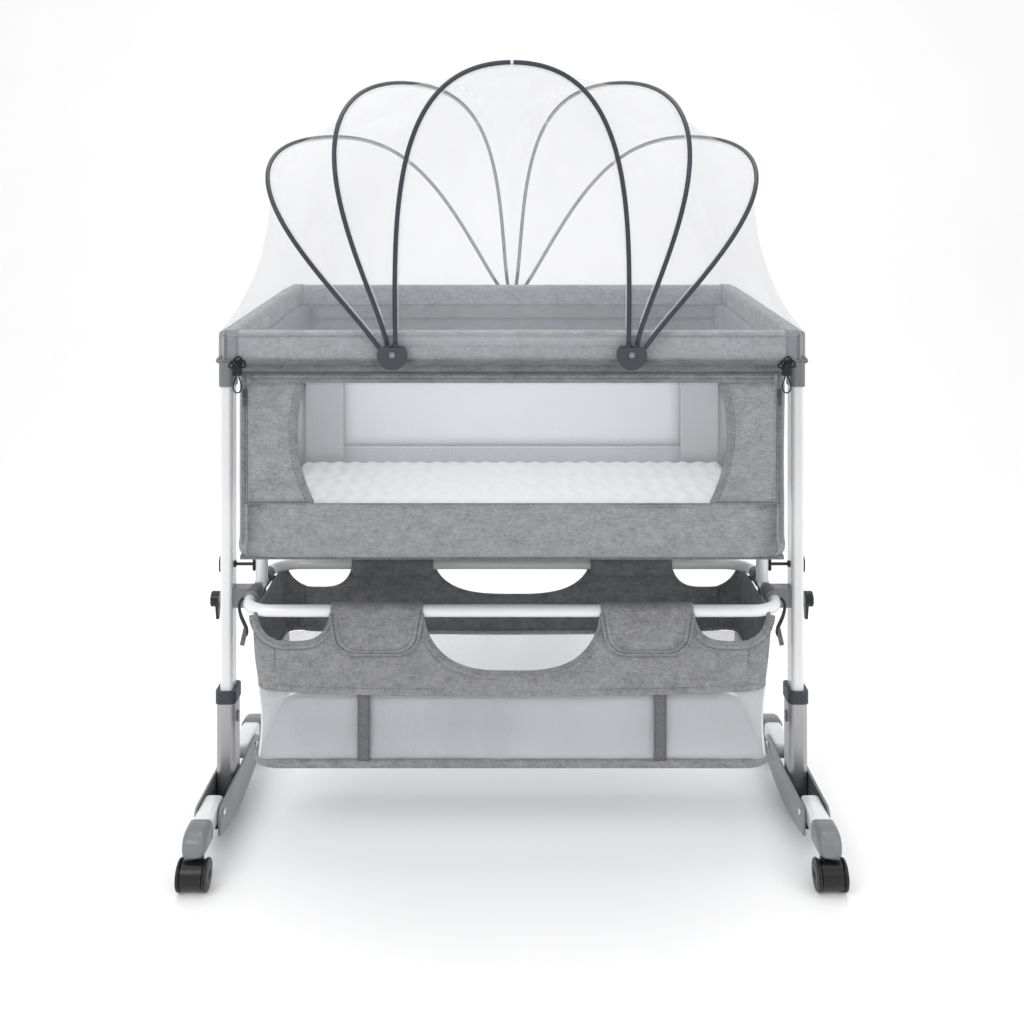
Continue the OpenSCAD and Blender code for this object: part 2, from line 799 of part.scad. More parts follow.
// A caster's body: the stem, a drum-shaped hood with a slot below, and the axle
module caster(left, front) {
    axle_z = wheel_dia / 2;
    axle_length = hood_w + 2 * (wheel_gap + wheel_w) - 1;
    color("black") side(left) mirror([0, front ? 0 : 1, 0]) translate([-leg_x, -foot_half, 0]) {
        translate([0, 0, axle_z + 9]) cylinder(d = stem_dia, h = stem_high - axle_z - 9);
        difference() {
            union() {
                rod_x([0, -caster_trail, axle_z], hood_dia, hood_w);
                block([-11, -caster_trail, axle_z], [11, 8, axle_z + 20]);
            }
            translate([0, -caster_trail, 0]) cube([hood_slot, hood_dia + 2, 10], center = true);
        }
        rod_x([0, -caster_trail, axle_z], axle_dia - run, axle_length);
    }
}

module wheels(left, front) {
    x = hood_w / 2 + wheel_gap + wheel_w / 2;
    color("black") side(left) mirror([0, front ? 0 : 1, 0])
        translate([-leg_x, -foot_half - caster_trail, wheel_dia / 2]) both_sides() difference() {
            rod_x([-x, 0, 0], wheel_dia, wheel_w);
            rod_x([-x, 0, 0], axle_dia, wheel_w + 2);
        }
}

rail_tubes();
corner_joints();
rail_cover_front();
rail_cover_rear();
rail_cover_ends();
front_panel();
front_window();
front_band();
rear_wall();
rear_window();
end_walls();
base_board();
mattress();
zip_slider(true);  // zip_slider_left
zip_slider(false);  // zip_slider_right
leg_joints();
leg_tubes();
leg_plugs();
stay_tubes();
stay_bolts();
basket_clamps();
knob(true);  // knob_left
knob(false);  // knob_right
basket_frame();
basket_front();
basket_rear();
basket_ends();
tray_mesh();
tray_floor();
tray_rim();
tray_straps();
net_hubs();
hub_rivets();
hoop_arch();
hoop_mid(true);  // hoop_mid_left
hoop_mid(false);  // hoop_mid_right
hoop_outer(true);  // hoop_outer_left
hoop_outer(false);  // hoop_outer_right
mosquito_net();
cord_locks();
cord(true);  // cord_left
cord(false);  // cord_right
sleeve(true);  // sleeve_left
sleeve(false);  // sleeve_right
collar(true);  // collar_left
collar(false);  // collar_right
foot(true);  // foot_left
foot(false);  // foot_right
foot_caps(true);  // foot_caps_left
foot_caps(false);  // foot_caps_right
button(true);  // button_left
button(false);  // button_right
caster(true, true);  // caster_front_left
caster(false, true);  // caster_front_right
caster(true, false);  // caster_rear_left
caster(false, false);  // caster_rear_right
wheels(true, true);  // wheels_front_left
wheels(false, true);  // wheels_front_right
wheels(true, false);  // wheels_rear_left
wheels(false, false);  // wheels_rear_right
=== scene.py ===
import math

import bpy
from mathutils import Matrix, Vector, noise


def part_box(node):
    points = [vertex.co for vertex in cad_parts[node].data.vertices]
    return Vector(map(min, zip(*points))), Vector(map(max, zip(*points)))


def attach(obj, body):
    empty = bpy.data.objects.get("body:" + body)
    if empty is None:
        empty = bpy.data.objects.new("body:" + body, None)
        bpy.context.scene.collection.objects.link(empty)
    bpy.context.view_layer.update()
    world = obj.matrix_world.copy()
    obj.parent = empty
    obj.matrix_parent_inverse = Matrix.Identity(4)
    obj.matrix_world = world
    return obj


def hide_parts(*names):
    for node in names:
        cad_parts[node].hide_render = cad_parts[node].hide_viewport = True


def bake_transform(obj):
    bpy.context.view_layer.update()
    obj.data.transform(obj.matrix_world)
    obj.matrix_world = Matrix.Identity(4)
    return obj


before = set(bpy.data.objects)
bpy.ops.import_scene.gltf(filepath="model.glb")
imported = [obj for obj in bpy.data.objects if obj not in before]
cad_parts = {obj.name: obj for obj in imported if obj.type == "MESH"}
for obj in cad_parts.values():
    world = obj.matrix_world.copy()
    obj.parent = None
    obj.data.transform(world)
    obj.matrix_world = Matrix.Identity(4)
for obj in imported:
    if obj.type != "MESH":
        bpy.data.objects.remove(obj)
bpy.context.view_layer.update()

SIDES = (("left", -1), ("right", 1))
ENDS = (("front", -1), ("rear", 1))
UP = Vector((0, 0, 1))
CAMERA_AWAY = 2.01
HOOP_POINTS, HOOP_TOP = 121, 60


# ---- Camera ----

def make_camera():
    data = bpy.data.cameras.new("camera")
    camera = bpy.data.objects.new("camera", data)
    camera.location = (0, -CAMERA_AWAY, 1.094)
    camera.rotation_euler = (math.radians(90), 0, 0)
    data.sensor_width = 36
    data.lens = 39.13
    data.shift_y = -0.295
    bpy.context.scene.collection.objects.link(camera)
    bpy.context.scene.camera = camera


# ---- Shapes ----

def mesh_object(name, points, faces, material, smooth=True):
    mesh = bpy.data.meshes.new(name)
    mesh.from_pydata([tuple(p) for p in points], [], faces)
    mesh.validate()
    mesh.materials.append(material)
    for polygon in mesh.polygons:
        polygon.use_smooth = smooth
    piece = bpy.data.objects.new(name, mesh)
    bpy.context.scene.collection.objects.link(piece)
    return piece


def grid_faces(rows, columns, loop_rows=False, loop_columns=False):
    last_row = rows if loop_rows else rows - 1
    last_column = columns if loop_columns else columns - 1
    faces = []
    for i in range(last_row):
        for k in range(last_column):
            a, b = i * columns + k, i * columns + (k + 1) % columns
            c, d = ((i + 1) % rows) * columns + (k + 1) % columns, ((i + 1) % rows) * columns + k
            faces.append((a, b, c, d))
    return faces


def grid(name, rows, material, loop_rows=False, loop_columns=False, thick=0.0):
    """A surface through rows of points, given a thickness if asked."""
    points = [p for row in rows for p in row]
    piece = mesh_object(name, points, grid_faces(len(rows), len(rows[0]), loop_rows, loop_columns), material)
    if thick:
        solid = piece.modifiers.new("thick", "SOLIDIFY")
        solid.thickness = thick
        solid.offset = 0
        apply(piece)
    return piece


def apply(piece):
    """Replaces the mesh with what its modifiers make of it."""
    bpy.context.view_layer.update()
    graph = bpy.context.evaluated_depsgraph_get()
    mesh = bpy.data.meshes.new_from_object(piece.evaluated_get(graph))
    piece.modifiers.clear()
    piece.data = mesh


def join(name, pieces):
    """One object from several, which keep their materials."""
    materials, points, faces, slots = [], [], [], []
    for piece in pieces:
        base = len(points)
        points += [tuple(v.co) for v in piece.data.vertices]
        own = piece.data.materials[0]
        if own not in materials:
            materials.append(own)
        for polygon in piece.data.polygons:
            faces.append(tuple(base + v for v in polygon.vertices))
            slots.append(materials.index(own))
        bpy.data.objects.remove(piece)
    whole = mesh_object(name, points, faces, materials[0])
    for own in materials[1:]:
        whole.data.materials.append(own)
    for polygon, index in zip(whole.data.polygons, slots):
        polygon.material_index = index
    return whole


def frames(path, closed=False, upright=False):
    """A side and an up direction at each point of a path, carried along without twist or kept upright."""
    n = len(path)
    result = []
    side = None
    for i in range(n):
        ahead = path[(i + 1) % n] if closed or i < n - 1 else path[i]
        behind = path[i - 1] if closed or i > 0 else path[i]
        if upright:
            result.append(((ahead - behind).cross(UP).normalized(), UP))
            continue
        tangent = (ahead - behind).normalized()
        if side is None:
            side = tangent.cross(UP if abs(tangent.z) < 0.9 else Vector((0, 1, 0))).normalized()
        side = (side - tangent * side.dot(tangent)).normalized()
        result.append((side, side.cross(tangent).normalized()))
    return result


def sweep(name, path, section, material, closed=False, flat=False):
    """A solid swept along a path. With flat, the section's second axis stays upright."""
    path = [Vector(p) for p in path]
    rows = [[p + side * a + up * b for a, b in section]
            for p, (side, up) in zip(path, frames(path, closed, flat))]
    faces = grid_faces(len(rows), len(section), closed, True)
    points = [p for row in rows for p in row]
    if not closed:
        k = len(section)
        faces.append(tuple(range(k))[::-1])
        faces.append(tuple(range(len(points) - k, len(points))))
    return mesh_object(name, points, faces, material)


def round_section(radius, sides=12):
    return [(radius * math.cos(t), radius * math.sin(t)) for t in
            (2 * math.pi * k / sides for k in range(sides))]


def soft_section(width, height, power=4, sides=28):
    """A closed superellipse: a rectangle with soft corners."""
    points = []
    for k in range(sides):
        t = 2 * math.pi * k / sides
        c, s = math.cos(t), math.sin(t)
        points.append((width / 2 * math.copysign(abs(c) ** (2 / power), c),
                       height / 2 * math.copysign(abs(s) ** (2 / power), s)))
    return points


def tube(name, path, radius, material, closed=False, sides=12):
    return sweep(name, path, round_section(radius, sides), material, closed)


def smooth_path(points, per=6):
    """A Catmull-Rom curve through the points."""
    points = [Vector(p) for p in points]
    padded = [2 * points[0] - points[1]] + points + [2 * points[-1] - points[-2]]
    result = []
    for i in range(1, len(padded) - 2):
        a, b, c, d = padded[i - 1:i + 3]
        for k in range(per):
            t = k / per
            result.append(0.5 * (2 * b + (c - a) * t + (2 * a - 5 * b + 4 * c - d) * t * t
                                 + (3 * b - a - 3 * c + d) * t ** 3))
    return result + [points[-1]]


def resample(path, count, closed=False):
    """Evenly spaced points along a path."""
    path = list(path) + ([path[0]] if closed else [])
    lengths = [0.0]
    for a, b in zip(path, path[1:]):
        lengths.append(lengths[-1] + (b - a).length)
    result = []
    index = 0
    steps = count if closed else count - 1
    for k in range(count):
        target = lengths[-1] * k / steps
        while index < len(lengths) - 2 and lengths[index + 1] < target:
            index += 1
        span = lengths[index + 1] - lengths[index]
        result.append(path[index].lerp(path[index + 1], (target - lengths[index]) / span if span else 0))
    return result


def rounded_loop(half_x, half_y, radius, z=0.0, corner_steps=8, step=0.02):
    """A rounded rectangle seen from above, anticlockwise from the front left."""
    points = []
    for cx, cy, start in ((1, -1, 270), (1, 1, 0), (-1, 1, 90), (-1, -1, 180)):
        for k in range(corner_steps + 1):
            t = math.radians(start + 90 * k / corner_steps)
            points.append(Vector((cx * (half_x - radius) + radius * math.cos(t),
                                  cy * (half_y - radius) + radius * math.sin(t), z)))
    filled = []
    for i, a in enumerate(points):
        b = points[(i + 1) % len(points)]
        parts = max(1, round((b - a).length / step))
        filled += [a.lerp(b, k / parts) for k in range(parts)]
    return filled


def lathe(name, profile, centre, axis, material, sides=48):
    """A turned shape: the profile's points are (radius, distance along the axis)."""
    axis = Vector(axis).normalized()
    side = axis.orthogonal().normalized()
    other = axis.cross(side)
    rows = []
    for k in range(sides):
        t = 2 * math.pi * k / sides
        spoke = side * math.cos(t) + other * math.sin(t)
        rows.append([Vector(centre) + spoke * r + axis * a for r, a in profile])
    faces = grid_faces(sides, len(profile), True, True)
    return mesh_object(name, [p for row in rows for p in row], faces, material)


def stitches(name, path, material, out, pitch=0.006, radius=0.0005):
    """A row of short threads along a path, lifted towards out."""
    path = [Vector(p) for p in path]
    total = sum((b - a).length for a, b in zip(path, path[1:]))
    marks = resample(path, max(4, 2 * round(total / pitch)))
    points, faces = [], []
    for i in range(0, len(marks) - 1, 2):
        a, b = marks[i], marks[i + 1]
        along = (b - a).normalized()
        lift = Vector(out).normalized()
        side = along.cross(lift).normalized()
        base = len(points)
        for p, h in ((a, 0.0), (a.lerp(b, 0.5), radius), (b, 0.0)):
            for k in range(5):
                t = 2 * math.pi * k / 5
                points.append(p + lift * (h + radius * math.sin(t)) + side * radius * math.cos(t))
        faces += [tuple(base + f for f in face) for face in grid_faces(3, 5, False, True)]
        faces += [tuple(base + k for k in (4, 3, 2, 1, 0)), tuple(base + k for k in (10, 11, 12, 13, 14))]
    return mesh_object(name, points, faces, material)


def place(piece, body, slot, *nodes):
    """Says which body a piece rides on, and the nodes that it stands for. The slot argument is not used."""
    if body:
        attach(piece, body)
    if nodes:
        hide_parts(*nodes)
    return piece


# ---- Materials ----

class Look:
    """A node material around one Principled shader, with its textures in the object's own space."""

    def __init__(self, name, color, rough, metal=0.0, **sockets):
        self.material = bpy.data.materials.new(name)
        self.material.use_nodes = True
        self.tree = self.material.node_tree
        self.shader = self.tree.nodes["Principled BSDF"]
        self.set("Base Color", (*color, 1))
        self.set("Roughness", rough)
        self.set("Metallic", metal)
        for key, value in sockets.items():
            self.set(key.replace("_", " "), value)
        self.place = self.tree.nodes.new("ShaderNodeTexCoord").outputs["Object"]

    def set(self, socket, value):
        self.shader.inputs[socket].default_value = value

    def node(self, kind, **inputs):
        made = self.tree.nodes.new(kind)
        for key, value in inputs.items():
            if hasattr(value, "links"):
                self.tree.links.new(value, made.inputs[key])
            else:
                made.inputs[key].default_value = value
        return made

    def math(self, operation, a, b=0.0):
        made = self.tree.nodes.new("ShaderNodeMath")
        made.operation = operation
        for socket, value in zip(made.inputs, (a, b)):
            if hasattr(value, "links"):
                self.tree.links.new(value, socket)
            else:
                socket.default_value = value
        return made.outputs[0]

    def stretched(self, scale):
        return self.node("ShaderNodeMapping", Vector=self.place, Scale=scale).outputs[0]

    def noise(self, scale, detail=4.0, stretch=(1, 1, 1)):
        return self.node("ShaderNodeTexNoise", Vector=self.stretched(stretch), Scale=scale,
                         Detail=detail).outputs[0]

    def across(self):
        """Two distances over a cloth: around the object, and up it."""
        parts = self.node("ShaderNodeSeparateXYZ", Vector=self.place).outputs
        around = self.math("ADD", parts[0], parts[1])
        return around, self.math("ADD", parts[2], self.math("MULTIPLY", parts[1], 0.5))

    def waves(self, pitch):
        u, v = self.across()
        k = 2 * math.pi / pitch
        return self.math("SINE", self.math("MULTIPLY", u, k)), self.math("SINE", self.math("MULTIPLY", v, k))

    def ramp(self, value, *stops):
        made = self.node("ShaderNodeValToRGB", Fac=value)
        ramp = made.color_ramp
        while len(ramp.elements) < len(stops):
            ramp.elements.new(0.5)
        for element, (place, color) in zip(ramp.elements, stops):
            element.position = place
            element.color = (*color, 1) if len(color) == 3 else color
        return made.outputs[0]

    def color(self, value):
        self.tree.links.new(value, self.shader.inputs["Base Color"])

    def rough(self, value, low, high):
        spread = self.node("ShaderNodeMapRange", Value=value, **{"To Min": low, "To Max": high}).outputs[0]
        self.tree.links.new(spread, self.shader.inputs["Roughness"])

    def bump(self, height, distance, strength=0.6):
        made = self.node("ShaderNodeBump", Height=height, Distance=distance, Strength=strength)
        self.tree.links.new(made.outputs[0], self.shader.inputs["Normal"])

    def alpha(self, value, low, high):
        spread = self.node("ShaderNodeMapRange", Value=value, **{"To Min": low, "To Max": high}).outputs[0]
        self.tree.links.new(spread, self.shader.inputs["Alpha"])


def shade(color, factor):
    return tuple(min(1.0, c * factor) for c in color)


def melange(name, color, contrast=0.16, pitch=0.0016):
    """Cloth woven from flecked yarn: short light and dark streaks both ways over a fine weave."""
    look = Look(name, color, 0.92, Sheen_Weight=0.15, Sheen_Roughness=0.6, Specular_IOR_Level=0.2)
    level = look.noise(300, 6, (0.38, 0.38, 1.0))
    upright = look.noise(280, 6, (1.0, 1.0, 0.45))
    broad = look.noise(55, 5, (0.7, 0.7, 1.0))
    mixed = look.math("ADD", look.math("MULTIPLY", level, 0.42), look.math("MULTIPLY", upright, 0.26))
    mixed = look.math("ADD", mixed, look.math("MULTIPLY", broad, 0.32))
    look.color(look.ramp(mixed, (0.36, shade(color, 1 - 2 * contrast)), (0.50, color),
                         (0.64, shade(color, 1 + 2 * contrast))))
    warp, weft = look.waves(pitch)
    weave = look.math("MULTIPLY", warp, weft)
    look.bump(look.math("ADD", weave, look.math("MULTIPLY", level, 2)), 0.0005, 0.5)
    look.rough(level, 0.85, 0.98)
    return look.material


def netting(name, color, low, high, pitch, fold_scale=7.0):
    """Sheer cloth: the threads close up where it folds."""
    look = Look(name, color, 0.85, Sheen_Weight=0.2, Specular_IOR_Level=0.1)
    folds = look.noise(fold_scale, 3, (1, 1, 0.5))
    warp, weft = look.waves(pitch)
    threads = look.math("MAXIMUM", warp, weft)
    look.alpha(look.math("ADD", folds, look.math("MULTIPLY", threads, 0.12)), low, high)
    look.bump(threads, 0.0004, 0.4)
    look.color(look.ramp(folds, (0.3, shade(color, 0.97)), (0.7, color)))
    return look.material


def dotted_mesh(name, color, hole, pitch):
    """Spacer mesh: rows of small dark holes."""
    look = Look(name, color, 0.9, Sheen_Weight=0.1, Specular_IOR_Level=0.15)
    warp, weft = look.waves(pitch)
    holes = look.math("MULTIPLY", look.math("MAXIMUM", warp, 0), look.math("MAXIMUM", weft, 0))
    flecks = look.noise(300, 3)
    look.color(look.ramp(look.math("ADD", holes, look.math("MULTIPLY", flecks, 0.12)),
                         (0.10, color), (0.55, hole)))
    look.bump(holes, -0.0012, 0.8)
    look.rough(flecks, 0.82, 0.96)
    return look.material


def quilted(name, color):
    look = Look(name, color, 0.9, Sheen_Weight=0.25, Specular_IOR_Level=0.2)
    knit = look.noise(420, 4)
    soft = look.noise(30, 3)
    look.color(look.ramp(soft, (0.3, shade(color, 0.95)), (0.7, color)))
    look.bump(look.math("ADD", knit, look.math("MULTIPLY", soft, 2)), 0.0008, 0.5)
    look.rough(knit, 0.82, 0.96)
    return look.material


def paint(name, color, rough, coat=0.0):
    look = Look(name, color, rough, Coat_Weight=coat, Coat_Roughness=0.08)
    peel = look.noise(90, 3)
    dust = look.noise(9, 4)
    look.color(look.ramp(dust, (0.3, shade(color, 0.97)), (0.7, color)))
    look.bump(peel, 0.0002, 0.15)
    look.rough(dust, rough * 0.8, rough * 1.25)
    return look.material


def metal(name, color, rough, grain=(1, 1, 0.03)):
    look = Look(name, color, rough, 1.0)
    lines = look.noise(700, 3, grain)
    broad = look.noise(8, 3)
    look.color(look.ramp(broad, (0.3, shade(color, 0.94)), (0.7, color)))
    look.bump(lines, 0.0001, 0.25)
    look.rough(lines, rough * 0.8, rough * 1.2)
    return look.material


def plastic(name, color, rough):
    """Moulded plastic: a fine spark-eroded grain and slightly rubbed patches."""
    look = Look(name, color, rough, Specular_IOR_Level=0.38)
    grain = look.noise(900, 2)
    rubbed = look.noise(25, 4)
    look.color(look.ramp(rubbed, (0.35, color), (0.75, shade(color, 1.12))))
    look.bump(grain, 0.00015, 0.3)
    look.rough(rubbed, rough * 0.8, rough * 1.2)
    return look.material


def webbing(name, color):
    look = Look(name, color, 0.85, Sheen_Weight=0.1, Specular_IOR_Level=0.25)
    warp, weft = look.waves(0.0024)
    yarn = look.math("MULTIPLY", warp, weft)
    flecks = look.noise(500, 3)
    look.color(look.ramp(look.math("ADD", flecks, look.math("MULTIPLY", yarn, 0.15)),
                         (0.35, shade(color, 0.75)), (0.6, color), (0.8, shade(color, 1.5))))
    look.bump(yarn, 0.0006, 0.8)
    look.rough(flecks, 0.75, 0.95)
    return look.material


RAIL = melange("rail_cloth", (0.285, 0.290, 0.305), 0.15)
BODY = melange("body_cloth", (0.255, 0.258, 0.268), 0.14)
PATCH = melange("corner_patch", (0.165, 0.175, 0.195), 0.08)
SEAM = melange("bound_edge", (0.20, 0.202, 0.21), 0.14)
LINING = melange("inner_lining", (0.24, 0.252, 0.280), 0.06)
BASKET = melange("basket_cloth", (0.235, 0.237, 0.245), 0.16)
BASKET_EDGE = melange("basket_binding", (0.24, 0.242, 0.25), 0.16)
DARK_CLOTH = melange("dark_patch", (0.13, 0.132, 0.14), 0.16)
THREAD = paint("thread", (0.11, 0.112, 0.118), 0.8)
WINDOW = netting("window_mesh", (0.80, 0.80, 0.82), 0.05, 0.16, 0.0022, 4.0)
NET = netting("sheer_net", (0.55, 0.555, 0.585), 0.10, 0.27, 0.0018)
NET_EDGE = netting("net_binding", (0.88, 0.88, 0.90), 0.15, 0.35, 0.002)
TRAY_NET = netting("tray_mesh", (0.80, 0.81, 0.84), 0.14, 0.40, 0.0022, 5.0)
REAR_MESH = netting("rear_mesh", (0.86, 0.87, 0.90), 0.80, 0.97, 0.0024, 3.0)
DOTTED = dotted_mesh("dotted_mesh", (0.53, 0.54, 0.57), (0.33, 0.34, 0.36), 0.0052)
TRAY_END = netting("tray_end_mesh", (0.82, 0.82, 0.85), 0.60, 0.85, 0.0022, 5.0)
TRAY_TOP = dotted_mesh("tray_top", (0.40, 0.425, 0.47), (0.31, 0.33, 0.37), 0.006)
QUILT = quilted("quilt", (0.76, 0.765, 0.78))
STRAP = webbing("strap_webbing", (0.17, 0.17, 0.178))
ELASTIC = webbing("black_elastic", (0.012, 0.012, 0.013))
WHITE = paint("white_paint", (0.78, 0.785, 0.79), 0.22, 0.5)
BRACKET = paint("bracket_paint", (0.20, 0.205, 0.215), 0.38, 0.2)
SLEEVE = metal("satin_sleeve", (0.42, 0.42, 0.425), 0.42)
ALUMINIUM = metal("mill_aluminium", (0.6, 0.6, 0.62), 0.4)
CHROME = metal("bright_rivet", (0.75, 0.76, 0.78), 0.18)
GREY = plastic("grey_plastic", (0.17, 0.178, 0.185), 0.28)
SLATE = plastic("slate_plastic", (0.036, 0.042, 0.051), 0.48)
HOOP = plastic("hoop_plastic", (0.026, 0.031, 0.040), 0.40)
BLACK = plastic("black_plastic", (0.006, 0.006, 0.007), 0.33)
FERRULE = plastic("pale_ferrule", (0.55, 0.56, 0.58), 0.35)


def sew(path, facing, pitch=0.006):
    """Stitches on cloth that faces forwards (-1) or backwards (1)."""
    return stitches("thread", path, THREAD, (0, facing, 0), pitch)


def cording(path, radius, closed):
    """The rounded edge of a seam."""
    return tube("cording", path, radius, SEAM, closed, 8)


def crib_piece(name, parts, slot, *nodes):
    """One piece of the crib, joined from several shapes."""
    return place(join(name, parts), "crib", slot, *nodes)


def give(material, *nodes):
    for node in nodes:
        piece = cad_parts[node]
        if not piece.material_slots:
            piece.data.materials.append(material)
        for holder in piece.material_slots:
            holder.material = material


def cad_materials():
    give(WHITE, "leg_tubes", "stay_tubes", "basket_frame")
    give(GREY, "leg_joints", "basket_clamps", "button_left", "button_right")
    give(SLEEVE, "sleeve_left", "sleeve_right")
    give(SLATE, "corner_joints", "leg_plugs", "net_hubs", "collar_left", "collar_right",
         "zip_slider_left", "zip_slider_right")
    give(ALUMINIUM, "rail_tubes")
    give(GREY, "hub_rivets")
    give(BLACK, "stay_bolts", "knob_left", "knob_right", "cord_locks")
    give(DARK_CLOTH, "base_board")
    for side, _ in SIDES:
        for end, _ in ENDS:
            give(BLACK, f"caster_{end}_{side}")


# ---- The loops of elastic under the cord locks ----

LOOP = [
    (-426, -291, 838), (-426.2, -291, 836), (-427.4, -291.4, 832), (-429.4, -291.8, 827.5),
    (-430.4, -292, 822.5), (-430, -292, 817.5), (-428, -291.8, 813.5), (-425.4, -291.6, 811.8),
    (-422.6, -291.6, 811.8), (-420, -291.8, 813.5), (-418, -292, 817.5), (-417.6, -292, 822.5),
    (-418.6, -291.8, 827.5), (-420.6, -291.4, 832), (-421.8, -291, 836), (-422, -291, 838)
]
CORD_D = 0.0022


def elastic_loops():
    for side, s in SIDES:
        path = smooth_path([Vector((-s * x, y, z)) / 1000 for x, y, z in LOOP], 4)
        piece = tube(f"elastic_loop_{side}", path, CORD_D / 2, ELASTIC)
        place(piece, "crib", "elastic", f"cord_{side}")


# Each bunched ring of elastic: its place beside and above the lock, and its turn
BUNCHES = ((0.0, 0.0, 0.3), (-0.008, -0.003, 1.3), (0.008, -0.002, 2.2), (0.002, 0.004, 2.9))


def gathers():
    """The bunched elastic above each cord lock."""
    for side, s in SIDES:
        parts = []
        for k, (dx, dz, turn) in enumerate(BUNCHES):
            ring = []
            for i in range(28):
                a = 2 * math.pi * i / 28
                u, v = 0.0075 * math.cos(a), 0.0042 * math.sin(a) + 0.0012 * math.sin(3 * a + k)
                x = s * 0.425 + dx + u * math.cos(turn) - v * math.sin(turn)
                z = 0.8575 + dz + u * math.sin(turn) * 0.7 + v * math.cos(turn)
                ring.append(Vector((x, -0.2885 + 0.0012 * math.cos(2 * a + k), z)))
            parts.append(tube("ring", ring, 0.0013, ELASTIC, True, 8))
        place(join(f"gathered_elastic_{side}", parts), "crib", "elastic")


# ---- Rim ----

FRONT_RAIL, REAR_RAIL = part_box("rail_cover_front"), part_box("rail_cover_rear")
RIM_X, RIM_Y = FRONT_RAIL[1][0], REAR_RAIL[1][1]
RAIL_H = FRONT_RAIL[1][2] - FRONT_RAIL[0][2]
RAIL_T = FRONT_RAIL[1][1] - FRONT_RAIL[0][1]
RAIL_RISE = REAR_RAIL[0][2] - FRONT_RAIL[0][2]
PANEL_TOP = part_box("front_panel")[1][2]
BODY_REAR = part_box("rear_wall")[1][1]


def rim_z(y):
    """Height of the rails' underside at a depth."""
    along = (y + RIM_Y - RAIL_T / 2) / (2 * RIM_Y - RAIL_T)
    return FRONT_RAIL[0][2] + RAIL_RISE * min(1, max(0, along))


def rim_path(inset, above, step=0.02, radius=0.030):
    loop = rounded_loop(RIM_X - inset, RIM_Y - inset, radius, step=step)
    return [Vector((p.x, p.y, rim_z(p.y) + above)) for p in loop]


def make_rim():
    middle = rim_path(RAIL_T / 2, RAIL_H / 2, 0.012, 0.020)
    rail = sweep("padded_rail", middle, soft_section(RAIL_T - 1e-3, RAIL_H, 3.4, 36), RAIL, True, True)
    for vertex in rail.data.vertices:
        p = vertex.co
        soft = noise.noise(Vector((p.x * 14, p.y * 14, p.z * 22)))
        inward = Vector((p.x, p.y, 0)).normalized()
        vertex.co = p - inward * 0.0012 * (1 + soft)
    covers = [f"rail_cover_{part}" for part in ("front", "rear", "ends")]
    place(rail, "crib", "rail_fabric", *covers, "corner_joints")
    parts = []
    for above, out in ((0.0022, 0.0), (RAIL_H * 0.86, 0.0004)):
        path = rim_path(0.0030 if above < 0.01 else 0.0006 - out, above, 0.02, 0.028)
        parts.append(cording(path, 0.0016, True))
    inner = rim_path(RAIL_T + 0.0002, RAIL_H * 0.22, 0.02, 0.012)
    parts.append(tube("inner_seam", inner, 0.0012, SEAM, True, 8))
    crib_piece("rail_piping", parts, "rail_fabric")
    patches = []
    for _, s in SIDES:
        for end in (-1, 1):
            y = end * (RIM_Y - RAIL_T / 2)
            path = [Vector((s * x, y, rim_z(y) + RAIL_H / 2)) for x in (0.426, 0.433, 0.440, 0.447)]
            section = soft_section(RAIL_T + 0.0012, RAIL_H + 0.0012, 3.4, 36)
            patches.append(sweep("patch", path, section, PATCH, False, True))
    crib_piece("rail_corner_patches", patches, "rail_fabric")
    rows = []
    top, low = FRONT_RAIL[0][2] + 0.006, PANEL_TOP - 0.002
    for k in range(7):
        z = top + (low - top) * k / 6
        rows.append([Vector((0.428 * (2 * i / 90 - 1), -0.2635 - 0.0022 * math.sin(math.pi * k / 6)
                             + fold((i * 0.02, 0, z), 0.0016), z)) for i in range(91)])
    strip = grid("valance", rows, SEAM, thick=0.0016)
    lines = [tube("line", [row + Vector((0, -0.0022, 0)) for row in rows[k]], 0.0011, DARK_CLOTH, False, 8)
             for k in (2, 6)]
    crib_piece("rail_valance", [strip] + lines, "rail_fabric")
    inner = [Vector((x, BODY_REAR - 0.0045, REAR_RAIL[0][2] - 0.017)) for x in (-0.41, 0, 0.41)]
    seams = [cording(resample(inner, 60), 0.0011, False)]
    upright = [Vector((0, REAR_RAIL[0][1] - 0.0002, z)) for z in (0.893, 0.915, 0.936)]
    seams.append(tube("seam", upright, 0.0009, SEAM))
    crib_piece("inner_seams", seams, "rail_fabric")
    thread = []
    for _, s in SIDES:
        for x in (0.428, 0.445):
            y = -RIM_Y - 0.0004
            thread.append(stitches("thread", [(s * x, y, FRONT_RAIL[0][2] + z) for z in (0.006, 0.044)],
                                   THREAD, (0, -1, 0), 0.005))
    crib_piece("rail_stitching", thread, "rail_fabric")


# ---- Body of the crib ----

BAND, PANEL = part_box("front_band"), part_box("front_panel")
ENDS_BOX, REAR_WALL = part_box("end_walls"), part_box("rear_wall")
REAR_WINDOW, WINDOW_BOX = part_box("rear_window"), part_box("front_window")
BODY_X, BODY_Y = ENDS_BOX[1][0], REAR_WALL[1][1]
SEAM_Z = PANEL[0][2]
WALL = 0.003


def fold(p, size=0.0015):
    """A small wander of cloth out of its plane."""
    return size * (noise.noise(Vector((p[0] * 9, p[1] * 9, p[2] * 5)))
                   + 0.5 * noise.noise(Vector((p[0] * 23, p[1] * 23, p[2] * 17 + 7))))


